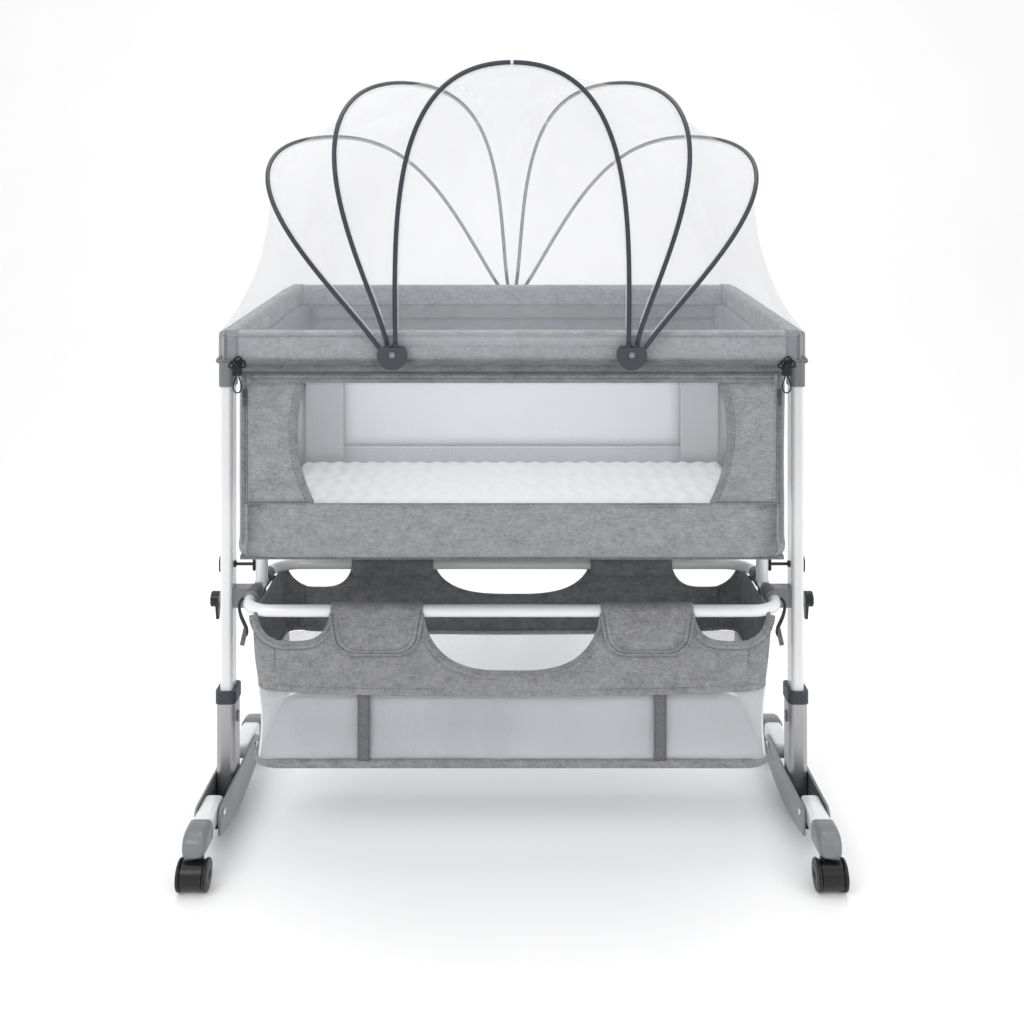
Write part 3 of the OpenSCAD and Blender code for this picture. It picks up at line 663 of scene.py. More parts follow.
def body_column(p, low_tuck=0.020):
    """Points up the wall at one place of the plan: a rounded lower edge, then straight up under the rail."""
    inward = -Vector((p.x / BODY_X ** 8 * abs(p.x) ** 7, p.y / BODY_Y ** 8 * abs(p.y) ** 7, 0)).normalized()
    floor = BAND[0][2]
    column = []
    for k in range(6):
        t = math.radians(90 * k / 5)
        column.append(p + inward * low_tuck * (1 - math.sin(t)) + UP * (floor + low_tuck * (1 - math.cos(t))))
    top = rim_z(p.y) + 0.010
    levels = [0.575, 0.600, REAR_WINDOW[0][2], SEAM_Z - 0.0006, 0.66, 0.70, 0.74, 0.77,
              REAR_WINDOW[1][2], 0.825]
    for z in levels + [top - 0.012, top]:
        column.append(p + UP * z + inward * (0.0015 + fold((p.x, p.y, z))))
    return column


def make_body():
    loop = rounded_loop(BODY_X - 0.0008, BODY_Y - 0.0004, 0.024, step=0.03)
    edges = [PANEL[1][0] + 0.0006, REAR_WINDOW[1][0]]
    plan = []
    for p in loop:
        on_face = abs(abs(p.y) - BODY_Y + 0.0004) < 1e-6
        near = [e for e in edges if abs(abs(p.x) - e) < 0.014]
        edge = near[0] if on_face and near else None
        plan.append(Vector((math.copysign(edge, p.x), p.y, 0)) if edge else p)
    columns = [body_column(p) for p in plan]
    rows = len(columns[0])
    points = [p for column in columns for p in column]
    faces = []
    for a, b, c, d in grid_faces(len(columns), rows, True):
        middle = sum((points[i] for i in (a, b, c, d)), Vector()) / 4
        front_gap = middle.y < -BODY_Y + 0.01 and abs(middle.x) < PANEL[1][0] and middle.z > SEAM_Z
        rear_gap = (middle.y > BODY_Y - 0.01 and abs(middle.x) < REAR_WINDOW[1][0]
                    and REAR_WINDOW[0][2] < middle.z < REAR_WINDOW[1][2])
        if not front_gap and not rear_gap:
            faces.append((a, b, c, d))
    shell = mesh_object("body_shell", points, faces, BODY)
    solid = shell.modifiers.new("thick", "SOLIDIFY")
    solid.thickness = WALL
    solid.offset = -1
    apply(shell)
    shell.data.materials.append(LINING)
    for polygon in shell.data.polygons:
        outward = Vector((polygon.center.x / BODY_X ** 2, polygon.center.y / BODY_Y ** 2, 0))
        if polygon.normal.dot(outward) < 0 and polygon.center.z > 0.56:
            polygon.material_index = 1
    place(shell, "crib", "body_fabric", "front_band", "rear_wall", "end_walls")
    piping = []
    for above, in_x, in_y, radius, thick in ((0.0065, 0.0065, 0.006, 0.022, 0.0022),
                                             (0.0015, 0.016, 0.016, 0.018, 0.0016)):
        run = rounded_loop(BODY_X - in_x, BODY_Y - in_y, radius, BAND[0][2] + above)
        piping.append(cording(run, thick, True))
    seam = [Vector((x, -BODY_Y - 0.0004, SEAM_Z - 0.0012)) for x in (-PANEL[1][0], 0, PANEL[1][0])]
    piping.append(cording(resample(seam, 40), 0.0013, False))
    for _, s in SIDES:
        for y in (-BODY_Y, BODY_Y):
            edge = [Vector((s * (BODY_X - 0.0085), y * 0.9995, z)) for z in (0.570, 0.66, 0.75, 0.850)]
            piping.append(cording(resample(edge, 24), 0.0014, False))
    crib_piece("body_piping", piping, "body_fabric")
    cover = [[Vector((x, y, BAND[0][2] + 0.0008)) for x in (-BODY_X + 0.018, 0, BODY_X - 0.018)]
             for y in (-BODY_Y + 0.018, 0, BODY_Y - 0.018)]
    place(grid("base_cover", cover, DARK_CLOTH, thick=0.001), "crib", "board")
    thread = []
    y = -BODY_Y - 0.0009
    for z in (BAND[0][2] + 0.016, SEAM_Z - 0.007):
        thread.append(sew([(x, y + 0.0006, z) for x in (-0.40, 0.40)], -1))
    crib_piece("body_stitching", thread, "body_fabric")


def window_edge(z):
    """Half width of the window at a height: a long arc, widest in the middle."""
    half, radius, centre = WINDOW_BOX[1][0], 0.250, 0.746
    return half - radius + math.sqrt(max(0, radius ** 2 - (z - centre) ** 2))


def panel_y(x, z):
    """The panel's face, stretched between its seams and slightly full below the middle."""
    full = math.sin(math.pi * min(1, max(0, (z - SEAM_Z) / (PANEL[1][2] - SEAM_Z))))
    return -BODY_Y + 0.0018 - 0.0022 * full + fold((x, -0.3, z), 0.0010)


def make_panel():
    top, low = PANEL[1][2], SEAM_Z
    edge, window_top = PANEL[1][0], WINDOW_BOX[1][2]
    parts = []
    levels = [low + (window_top - low) * k / 22 for k in range(23)]
    for s in (-1, 1):
        rows = []
        for z in levels:
            inner = window_edge(z)
            y = panel_y(s * edge, z)
            rows.append([Vector((s * (inner + (edge - inner) * k / 9), y, z)) for k in range(10)])
        parts.append(grid("panel_side", rows, BODY, thick=0.003))
    rows = [[Vector((-edge + 2 * edge * k / 60, panel_y(0, z), z)) for k in range(61)]
            for z in (window_top, (window_top + top) / 2, top)]
    parts.append(grid("panel_top", rows, BODY, thick=0.003))
    place(join("panel_cloth", parts), "panel", "body_fabric", "front_panel")
    trim, thread = [], []
    for s in (-1, 1):
        curve = [Vector((s * (window_edge(z) + 0.003), panel_y(s * edge, z) - 0.0018, z)) for z in levels]
        trim.append(sweep("binding", curve, soft_section(0.009, 0.0022, 3, 12), SEAM))
        beside = [Vector((s * (window_edge(z) + 0.011), panel_y(s * edge, z) - 0.0018, z)) for z in levels]
        thread.append(sew(beside, -1))
        outer = [Vector((s * (edge - 0.006), panel_y(s * edge, z) - 0.0018, z))
                 for z in (low + 0.004, top - 0.004)]
        thread.append(sew(outer, -1))
    y = panel_y(0, window_top) - 0.0018
    bar = [Vector((-edge + 0.004 + (2 * edge - 0.008) * k / 40, y, window_top + 0.004)) for k in range(41)]
    trim.append(sweep("binding", bar, soft_section(0.002, 0.007, 3, 12), SEAM))
    place(join("panel_binding", trim), "panel", "body_fabric")
    place(join("panel_stitching", thread), "panel", "body_fabric")
    rows = []
    for z in levels:
        half = window_edge(z) - 0.0004
        rows.append([Vector((-half + 2 * half * k / 40, panel_y(0, z) + 0.0006, z)) for k in range(41)])
    window = grid("window_mesh", rows, WINDOW, thick=0.0006)
    place(window, "panel", "mesh", "front_window")


def make_zips():
    parts = []
    for _, s in SIDES:
        x = s * (PANEL[1][0] + 0.0045)
        path = [Vector((x, -BODY_Y + 0.0002, z)) for z in (SEAM_Z, 0.70, 0.77, PANEL[1][2])]
        parts.append(sweep("tape", resample(path, 30), soft_section(0.0075, 0.0008, 3, 12), SEAM))
        teeth = [Vector((x, -BODY_Y - 0.0004, z)) for z in (SEAM_Z, PANEL[1][2])]
        parts.append(stitches("teeth", teeth, SLATE, (0, -1, 0), 0.003, 0.0007))
    crib_piece("zips", parts, "strap")


def make_rear_mesh():
    low, high = REAR_WINDOW
    y = (low[1] + high[1]) / 2

    def sheet(name, x0, x1, z0, z1, material):
        rows = [[Vector((x0 + (x1 - x0) * i / 24, y + fold((x0 + (x1 - x0) * i / 24, y, z), 0.001), z))
                 for i in range(25)] for z in (z0 + (z1 - z0) * k / 8 for k in range(9))]
        return grid(name, rows, material, thick=0.0008)

    parts = [sheet("middle", low[0], high[0], low[2], high[2], REAR_MESH)]
    crib_piece("rear_window_mesh", parts, "mesh", "rear_window")
    y = BODY_Y - 0.0075
    reach, floor, top = 0.4200, MATTRESS_TOP - 0.012, 0.842
    border = [sheet("left", -reach, low[0] + 0.002, floor, top, DOTTED),
              sheet("right", high[0] - 0.002, reach, floor, top, DOTTED),
              sheet("lower", low[0] + 0.002, high[0] - 0.002, floor, low[2] + 0.002, DOTTED)]
    crib_piece("dotted_border", border, "mesh")
    sides = []
    for _, s in SIDES:
        rows = [[Vector((s * (BODY_X - 0.0075), BODY_Y * share, z)) for share in (-0.94, -0.3, 0.3, 0.965)]
                for z in (floor, 0.70, 0.78, 0.835)]
        sides.append(grid("end", rows, REAR_MESH, thick=0.001))
    crib_piece("end_lining", sides, "mesh")


MATTRESS_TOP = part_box("mattress")[1][2]


def make_mattress():
    low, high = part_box("mattress")
    nx, ny = 260, 90
    loop_x = [low[0] + (high[0] - low[0]) * i / nx for i in range(nx + 1)]
    loop_y = [low[1] + (high[1] - low[1]) * i / ny for i in range(ny + 1)]
    middle = (low[2] + high[2]) / 2
    half = (high[2] - low[2]) / 2

    def height(x, y):
        ex = min(1, (min(x - low[0], high[0] - x)) / 0.022)
        ey = min(1, (min(y - low[1], high[1] - y)) / 0.022)
        rim = math.sqrt(max(0, 1 - (1 - ex) ** 2)) * math.sqrt(max(0, 1 - (1 - ey) ** 2))
        wave = math.sin(x * 2 * math.pi / 0.033 + 1.1 * math.sin(y * 2 * math.pi / 0.085))
        return rim * (half - 0.0018 + 0.0018 * wave)

    points = [Vector((x, y, middle + height(x, y))) for y in loop_y for x in loop_x]
    count = len(points)
    points += [Vector((x, y, middle - max(0, height(x, y)) * 0.96)) for y in loop_y for x in loop_x]
    top = grid_faces(ny + 1, nx + 1)
    faces = top + [tuple(count + v for v in face[::-1]) for face in top]
    pad = mesh_object("quilted_mattress", points, faces, QUILT)
    weld = pad.modifiers.new("weld", "WELD")
    weld.merge_threshold = 1e-5
    apply(pad)
    place(pad, "crib", "mattress_cover", "mattress")


# ---- Basket and tray ----

RING, BAND_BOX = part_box("basket_frame"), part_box("basket_front")
RING_X, RING_Y = RING[1][0] - 0.010, RING[1][1] - 0.010
RING_Z = (RING[0][2] + RING[1][2]) / 2
LOW_Z = BAND_BOX[0][2]
TAB_IN, TAB_OUT = 0.150, 0.306
SCOOPS = {-1: 0.316, 1: 0.352}


def scoop(u, depth):
    """Depth of a scoop at u, from -1 to 1 across it."""
    return depth * max(0, 1 - abs(u) ** 3.2) ** (1 / 1.7)


def band_top(p):
    """Height of the band's upper edge at a point of its plan."""
    x, end = abs(p.x), math.copysign(1, p.y)
    if abs(p.y) < RING_Y - 0.02:
        return RING_Z - 0.008
    rise = RING_Z - 0.002
    if x < TAB_IN:
        return rise - scoop(x / TAB_IN, rise - SCOOPS[end])
    if x > TAB_OUT:
        half = (0.434 - TAB_OUT) / 2
        return rise - scoop((x - TAB_OUT - half) / half, rise - 0.366)
    return rise


def band_low(p):
    return LOW_Z - 0.004 + 0.012 * (abs(p.x) / RING_X) ** 3


def make_basket():
    plan = rounded_loop(BAND_BOX[1][0] + 0.001, RING_Y + 0.0125, 0.030, step=0.0035)
    rows = 16
    columns = []
    for p in plan:
        low, top = band_low(p), band_top(p)
        taper = Vector((p.x, 0, 0)).normalized() * -0.010 if abs(p.x) > 0.40 else Vector()
        column = []
        for k in range(rows):
            t = k / (rows - 1)
            z = low + (top - low) * t
            drop = 1 - (z - LOW_Z) / (RING_Z - LOW_Z)
            facing_y = abs(p.y) > 0.13
            out = Vector((0, math.copysign(1, p.y), 0) if facing_y else (math.copysign(1, p.x), 0, 0))
            sag = 0.003 * math.sin(math.pi * t) + fold((p.x, p.y, z), 0.002)
            column.append(Vector((p.x, p.y, z)) + taper * drop + out * (sag - 0.002))
        columns.append(column)
    shell = grid("basket_cloth", columns, BASKET, loop_rows=True, thick=0.0024)
    place(shell, "crib", "basket_fabric", "basket_front", "basket_rear", "basket_ends")
    upper = [column[-1] for column in columns]
    lower = [column[0] + UP * 0.002 for column in columns]
    trim = [sweep("binding", upper, round_section(0.0022, 10), BASKET_EDGE, True),
            sweep("binding", lower, soft_section(0.0042, 0.009, 3, 14), BASKET_EDGE, True, True)]
    thread = []
    for end in (-1, 1):
        y = end * (RING_Y + 0.0125)
        for low_x, high_x in ((-0.434, -TAB_OUT), (-TAB_IN, TAB_IN), (TAB_OUT, 0.434)):
            edge = sorted((p for p in upper
                           if abs(p.y - y) < 0.012 and low_x - 0.001 <= p.x <= high_x + 0.001),
                          key=lambda p: p.x)
            edge = resample(edge, 70)
            rows = [[], [], [], []]
            for i, p in enumerate(edge):
                along = (edge[min(i + 1, 69)] - edge[max(i - 1, 0)]).normalized()
                down = Vector((0, 1, 0)).cross(along).normalized()
                if down.z > 0:
                    down = -down
                for row, width in zip(rows, (0.0, 0.004, 0.008, 0.012)):
                    row.append(p + down * width + Vector((0, end * 0.0022, 0)))
            trim.append(grid("band", rows, BASKET_EDGE, thick=0.0014))
            lift = Vector((0, end * 0.0009, 0))
            thread.append(sew([p + lift for p in rows[3]][3:-3], end, 0.005))
            thread.append(sew([p + lift for p in rows[1]][3:-3], end, 0.005))
    crib_piece("basket_binding", trim, "basket_fabric")
    for end in (-1, 1):
        y = end * (RING_Y + 0.0125)
        side = [c for c in columns if abs(c[0].y - y) < 0.012 and abs(c[0].x) < 0.43]
        side.sort(key=lambda c: c[0].x)
        line = [c[0] + UP * 0.0095 + Vector((0, end * 0.0020, 0)) for c in side]
        thread.append(sew(resample(line, 120), end))
    crib_piece("basket_stitching", thread, "basket_fabric")


def flap_profile():
    """Over the frame's tube from behind and down in front, as (depth outwards, height)."""
    points = [(-0.0125, -0.020), (-0.0125, -0.010)]
    for k in range(13):
        t = math.radians(180 - 180 * k / 12)
        points.append((0.0125 * math.cos(t), 0.0125 * math.sin(t)))
    points += [(0.0150, -0.008), (0.0180, -0.018)]
    points += [(0.0186, -0.018 - 0.006 * k) for k in range(1, 7)]
    return points + [(0.0186, -0.054 - 0.0024 * k) for k in range(1, 6)]


def make_flaps():
    cloth, trim, thread = [], [], []
    profile = flap_profile()
    for end in (-1, 1):
        for s in (-1, 1):
            middle = s * (TAB_IN + TAB_OUT) / 2
            rows = []
            for i, (out, up) in enumerate(profile):
                drop = max(0, -up) if i > 14 else 0
                past = min(0.0299, max(0, drop - 0.036))
                rounding = 0.030 - math.sqrt(0.030 ** 2 - past ** 2)
                half = (TAB_OUT - TAB_IN) / 2 - 0.0005 - 0.16 * drop - rounding
                y = end * (RING_Y + out)
                rows.append([Vector((middle + half * k / 10, y, RING_Z + up)) for k in range(-10, 11)])
            cloth.append(grid("flap", rows, BASKET, thick=0.0022))
            front = rows[14:]
            edge = [row[0] for row in front] + rows[-1][1:-1] + [row[-1] for row in front[::-1]]
            edge = [p + Vector((0, end * 0.0008, 0)) for p in edge]
            edge = resample(smooth_path(edge, 2), 90)
            trim.append(sweep("binding", edge, round_section(0.0023, 8), BASKET_EDGE))
            centre = Vector((middle, edge[0].y, RING_Z - 0.02))
            for share in (0.95, 0.84):
                line = [centre + (p - centre) * share for p in edge]
                line = [Vector((p.x, q.y + end * 0.0008, p.z)) for p, q in zip(line, edge)]
                thread.append(sew(line, end, 0.005))
    crib_piece("basket_flaps", cloth, "basket_fabric")
    crib_piece("flap_binding", trim, "basket_fabric")
    crib_piece("flap_stitching", thread, "basket_fabric")


def make_end_wraps():
    grey, dark, black = [], [], []
    corner = 0.050
    for _, s in SIDES:
        for end in (-1, 1):
            path = [Vector((s * RING_X, end * y, RING_Z))
                    for y in (0.017, 0.030, 0.045, 0.060, RING_Y - corner)]
            grey.append(tube("wrap", resample(path, 30), 0.0122, BASKET, False, 20))
            dark.append(tube("band", path[1:4], 0.0131, DARK_CLOTH, False, 20))
            hook = [Vector((s * (RING_X + 0.0075), end * 0.090, RING_Z + 0.010)),
                    Vector((s * (RING_X + 0.0135), end * 0.094, RING_Z)),
                    Vector((s * (RING_X + 0.0085), end * 0.104, RING_Z - 0.015)),
                    Vector((s * (RING_X - 0.0060), end * 0.124, RING_Z - 0.030)),
                    Vector((s * (RING_X - 0.0100), end * 0.134, RING_Z - 0.036))]
            black.append(sweep("strap", smooth_path(hook, 5), soft_section(0.011, 0.0024, 3, 12), ELASTIC))
            tail = [Vector((s * (RING_X - 0.0050), end * 0.124, RING_Z - 0.030)),
                    Vector((s * (RING_X - 0.0020), end * 0.125, RING_Z - 0.044)),
                    Vector((s * (RING_X + 0.0010), end * 0.126, RING_Z - 0.058))]
            black.append(sweep("tail", smooth_path(tail, 4), soft_section(0.008, 0.0018, 3, 12), DARK_CLOTH))
    crib_piece("corner_straps", black, "strap")
    crib_piece("end_wraps", grey + dark, "basket_fabric")


TRAY_RIM, TRAY_FLOOR, TRAY_NET_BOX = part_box("tray_rim"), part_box("tray_floor"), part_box("tray_mesh")


def make_tray():
    width = 0.011
    height = TRAY_RIM[1][2] - TRAY_RIM[0][2]
    middle = (TRAY_RIM[1][2] + TRAY_RIM[0][2]) / 2
    path = rounded_loop(TRAY_RIM[1][0] - width / 2, TRAY_RIM[1][1] - width / 2, 0.045, middle, 12)
    rim = sweep("tray_edge", path, soft_section(width, height, 2.6, 20), BASKET, True, True)
    upper = [p + UP * (height / 2 - 0.001) for p in path]
    piping = tube("tray_piping", upper, 0.0026, SEAM, True, 8)
    place(join("tray_border", [rim, piping]), "crib", "basket_fabric", "tray_rim")
    rows = []
    steps = 30
    half_x, half_y = TRAY_FLOOR[1][0] - 0.001, TRAY_FLOOR[1][1] - 0.001
    for i in range(steps + 1):
        y = half_y * math.sin(math.pi / 2 * (2 * i / steps - 1))
        corner = 0.040 if y < 0 else 0.014
        past = max(0, abs(y) - (half_y - corner))
        reach = half_x - corner + math.sqrt(max(0, corner ** 2 - past ** 2))
        level = TRAY_FLOOR[1][2] - 0.003
        rows.append([Vector((reach * (2 * k / 60 - 1), y, level + fold((k * 0.03, y, 0), 0.0012)))
                     for k in range(61)])
    place(grid("tray_base", rows, TRAY_TOP, thick=0.004), "crib", "tray_fabric", "tray_floor")
    low, high = TRAY_NET_BOX[0][2], TRAY_NET_BOX[1][2] + 0.004
    plan = rounded_loop(TRAY_NET_BOX[1][0] - 0.003, TRAY_NET_BOX[1][1] - 0.003, 0.020, step=0.012)
    rows = []
    for k in range(13):
        z = low + (high - low) * k / 12
        inset = -0.004 * math.sin(math.pi * k / 12)
        rows.append([Vector((p.x * (1 + inset / BODY_X), p.y * (1 + inset / 0.13), z))
                     + Vector((0, fold((p.x, p.y, z), 0.002), 0)) for p in plan])
    netting_piece = grid("tray_netting", rows, TRAY_NET, loop_columns=True, thick=0.0006)
    netting_piece.data.materials.append(TRAY_END)
    for polygon in netting_piece.data.polygons:
        polygon.material_index = 1 if abs(polygon.normal.x) > 0.7 else 0
    place(netting_piece, "crib", "mesh", "tray_mesh")
    low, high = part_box("tray_straps")
    parts, thread = [], []
    for end in (-1, 1):
        for s in (-1, 1):
            y = end * (high[1] - 0.0006)
            path = [Vector((s * 0.250, y, low[2] + (high[2] - low[2]) * k / 16)) for k in range(17)]
            parts.append(sweep("strap", path, soft_section(0.0215, 0.0015, 3, 16), STRAP))
            for x in (-0.0085, 0.0085):
                line = [p + Vector((x, end * 0.0009, 0)) for p in path]
                thread.append(sew(line, end, 0.005))
    crib_piece("tray_webbing", parts + thread, "strap", "tray_straps")


# ---- Hoops and net ----

# Each hoop, in mm: height, stiffness of its foot, fullness of its two shoulders; then its lean in degrees
HOOP_FORMS = {"hoop_arch": (434, 211, 181, 181, 8), "hoop_mid_left": (424, 104, 578, 574, 10.4),
              "hoop_outer_left": (406, 127, 510, 484, 35)}
HOOP_FEET = {"hoop_arch": ((-0.180, -0.2934, 0.884), (0.180, -0.2934, 0.884), (0, -1, 0)),
             "hoop_mid_left": ((-0.192, -0.2934, 0.883), (-0.007, 0.2934, 0.929), (-1, 0, 0)),
             "hoop_outer_left": ((-0.1985, -0.2934, 0.872), (-0.018, 0.2934, 0.922), (-1, 0, 0))}


def hoop_line(node, steps=60):
    """The curve of a hoop's rod, as the CAD sweeps it: two halves that meet level at the top."""
    height, stiff, front, rear = (v / 1000 for v in HOOP_FORMS[node][:4])
    lean = math.radians(HOOP_FORMS[node][4])
    first, last, out = (Vector(v) for v in HOOP_FEET[node])
    span = (last - first).length
    u = (last - first).normalized()
    flat = u.cross(UP).normalized()
    if flat.dot(out) < 0:
        flat = -flat
    rise = (UP - u * u.z).normalized() * math.cos(lean) + flat * math.sin(lean)
    line = []
    for i in range(2 * steps + 1):
        t = i / steps if i <= steps else 2 - i / steps
        full = front if i <= steps else rear
        along = -span / 2 * (1 - t) ** 3 - 1.5 * span * (1 - t) ** 2 * t - 3 * full * (1 - t) * t * t
        up = 3 * stiff * (1 - t) ** 2 * t + 3 * height * (1 - t) * t * t + height * t ** 3
        line.append((first + last) / 2 + u * (along if i <= steps else -along) + rise * up)
    return line


HOOPS = {}


def make_hoops():
    for node in ("hoop_arch", "hoop_mid_left", "hoop_outer_left"):
        HOOPS[node] = resample(hoop_line(node), HOOP_POINTS)
    for kind in ("mid", "outer"):
        HOOPS[f"hoop_{kind}_right"] = [Vector((-p.x, p.y, p.z)) for p in HOOPS[f"hoop_{kind}_left"]]
    for node, path in HOOPS.items():
        parts = [tube("rod", path, 0.0036, HOOP, False, 14)]
        for foot in (path[0], path[-1]):
            profile = [(0.0001, -0.0046), (0.0025, -0.0042), (0.0046, -0.0020), (0.0049, 0.0),
                       (0.0046, 0.0020), (0.0025, 0.0042), (0.0001, 0.0046)]
            parts.append(lathe("eye", profile, foot, (0, 1, 0), SLATE, 24))
        mark = HOOP_TOP if node == "hoop_arch" else 88
        ends = [path[mark].lerp(path[mark + 1], share) for share in (-0.25, 0, 0.25)]
        parts.append(tube("ferrule", ends, 0.0041, FERRULE, False, 14))
        place(join(node + "_rod", parts), node, "dark_plastic", node)


def between(a, b, share, sag, down):
    """A point of cloth between two points, hollowed towards the middle of the dome."""
    p = a.lerp(b, share)
    centre = Vector((0, 0, 1.0))
    hollow = 4 * share * (1 - share)
    return p + (centre - p).normalized() * sag * hollow - UP * down * hollow


def loft(name, a, b, columns, sag, down=0.0, ripple=0.0012, share0=0.0, share1=1.0):
    rows = []
    for i, (p, q) in enumerate(zip(a, b)):
        taper = min(1, (p - q).length / 0.08)
        row = []
        for k in range(columns + 1):
            share = share0 + (share1 - share0) * k / columns
            point = between(p, q, share, sag * taper, down * taper)
            outward = (point - Vector((0, 0, 1))).normalized()
            point += outward * ripple * 4 * share * (1 - share) * math.sin(i * 0.9)
            row.append(point)
        rows.append(row)
    return grid(name, rows, NET)


def shrink(path, inset=0.0045):
    """The hoop's line moved in under the rod, where the net's binding runs."""
    centre = Vector((0, 0, 1.0))
    return [p + (centre - p).normalized() * inset for p in path]


def rim_run(side, count):
    """Points on the rim's outer upper edge, from the front hub round one end to the rear hub.

    The share of them on each side of the rim is the share of the hoop that hangs over it.
    """
    radius, out = 0.030, 0.0022
    x, y = RIM_X + out, RIM_Y + out
    hoop = HOOPS["hoop_outer_left"]
    front_corner = min(range(count), key=lambda i: hoop[i].x / (hoop[i].y + CAMERA_AWAY)) - 3
    rear_corner = round(0.68 * count)
    start, finish = Vector((0.194, -y, 0)), Vector((0.012, y, 0))
    arcs = []
    for cy in (-1, 1):
        arcs.append([Vector((x - radius + radius * math.cos(t), cy * (y - radius) + radius * math.sin(t), 0))
                     for t in (math.radians((-90 if cy < 0 else 0) + 90 * k / 8) for k in range(9))])
    half = len(arcs[0]) // 2
    parts = [resample([start] + arcs[0][:half + 1], front_corner + 1),
             resample(arcs[0][half:] + arcs[1][:half + 1], rear_corner - front_corner + 1)[1:],
             resample(arcs[1][half:] + [finish], count - rear_corner)[1:]]
    line = [p for part in parts for p in part]
    return [Vector((side * p.x, p.y, rim_z(p.y) + RAIL_H - 0.006)) for p in line]


def hem_rows(line, steps=6):
    """The net below the rim's upper edge, gathered against the rail's outer face."""
    rows = []
    for k in range(1, steps + 1):
        share = k / steps
        rows.append([p - UP * (RAIL_H - 0.004) * share
                     + Vector((p.x * 0.0012, p.y * 0.002, 0)) * math.sin(i * 1.7) * (0.3 + 0.7 * share)
                     for i, p in enumerate(line)])
    return rows


# The net's ridge behind the arch, as (depth, height)
SPINE = ((-0.18, 1.304), (0.0, 1.290), (0.14, 1.245), (0.235, 1.15), (0.280, 1.03), (0.288, 0.93))


def make_net():
    count = HOOP_POINTS
    pieces = []
    arch = shrink(HOOPS["hoop_arch"])
    top = 46
    for side, s in SIDES:
        mid = shrink(HOOPS[f"hoop_mid_{side}"])
        outer = shrink(HOOPS[f"hoop_outer_{side}"])
        rim = rim_run(s, count)
        rows = []
        for i in range(count):
            row = []
            for k in range(19):
                share = k / 18
                taper = min(1, (outer[i] - rim[i]).length / 0.15)
                point = outer[i].lerp(rim[i], share)
                hollow = 4 * share * (1 - share)
                centre = Vector((0, 0, point.z))
                point += (centre - point).normalized() * 0.024 * hollow * taper
                point -= UP * 0.012 * hollow * taper
                point += (point - centre).normalized() * 0.0022 * hollow * math.sin(i * 0.8)
                row.append(point)
            rows.append(row)
        for line in hem_rows(rim):
            for row, point in zip(rows, line):
                row.append(point)
        skirt = grid(f"net_skirt_{side}", rows, NET)
        axis = (Vector(outer[-1]) - Vector(outer[0])).normalized()
        plane = axis.cross(outer[HOOP_TOP] - outer[0]).normalized()
        if plane.x * s < 0:
            plane = -plane
        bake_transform(skirt)
        gore = loft(f"net_gore_{side}", mid, outer, 12, 0.012)
        place(gore, f"hoop_mid_{side}", "net_fabric")
        ridge = [arch[k] if s < 0 else arch[count - 1 - k] for k in range(60)]
        ridge = resample(ridge, top + 1)
        back = smooth_path([arch[HOOP_TOP]] + [(0, y, z) for y, z in SPINE], 8)
        spine = ridge + resample(back, count - top)[1:]
        inner = loft(f"net_mid_{side}", mid, spine, 8, 0.006, 0.0, 0.001, 0.0, 0.5)
        axis = (Vector(mid[-1]) - Vector(mid[0])).normalized()
        plane = axis.cross(mid[HOOP_TOP] - mid[0]).normalized()
        if plane.x * s > 0:
            plane = -plane
        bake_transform(inner)
        front = loft(f"net_cheek_{side}", mid[:top + 1], spine[:top + 1], 8, 0.006, 0.0, 0.001, 0.5, 1.0)
        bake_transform(front)
        roof = loft(f"net_roof_{side}", mid[top:], spine[top:], 8, 0.006, 0.0, 0.001, 0.5, 1.0)
        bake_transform(roof)
        rods = [f"hoop_{kind}_{side}_rod" for kind in ("mid", "outer")]
        pieces += [(skirt, [rods[1], "padded_rail"]), (gore, rods), (inner, [rods[0]]),
                   (front, [rods[0], "hoop_arch_rod"]), (roof, [rods[0], "hoop_arch_rod"])]
    rows = []
    for k in range(60):
        a, b = arch[k], arch[count - 1 - k]
        bulge = 0.006 * math.sin(math.pi * k / 60)
        rows.append([a.lerp(b, i / 16) + Vector((0, -bulge * 4 * (i / 16) * (1 - i / 16), 0))
                     for i in range(17)])
    door = grid("net_door", rows, NET)
    place(door, "hoop_arch", "net_fabric")
    y = -RIM_Y - 0.0022
    line = [Vector((-0.184 + 0.368 * i / 40, y, rim_z(y) + RAIL_H - 0.006)) for i in range(41)]
    upper = [Vector((p.x, p.y - 0.004, arch[0].z + 0.006)) for p in line]
    sill = grid("net_sill", [upper, line] + hem_rows(line), NET)
    place(sill, "crib", "net_fabric", "mosquito_net")
    pieces += [(door, ["hoop_arch_rod"]), (sill, ["padded_rail"])]
    for side, s in SIDES:
        for kind in ("mid", "outer"):
            path = shrink(HOOPS[f"hoop_{kind}_{side}"], 0.0055)[3:-3]
            place(tube(f"net_binding_{kind}_{side}", path, 0.0026, NET_EDGE, False, 8),
                  f"hoop_{kind}_{side}", "net_fabric")
    path = shrink(HOOPS["hoop_arch"], 0.0055)[3:-3]
    place(tube("net_binding_arch", path, 0.0026, NET_EDGE, False, 8), "hoop_arch", "net_fabric")
    hem = rim_path(-0.0034, 0.0015, 0.01, 0.032)
    hem = [p + UP * 0.0010 * math.sin(i * 0.7) for i, p in enumerate(hem)]
    place(tube("net_hem", hem, 0.0030, DARK_CLOTH, True, 10), "crib", "net_fabric")


# ---- Feet and casters ----

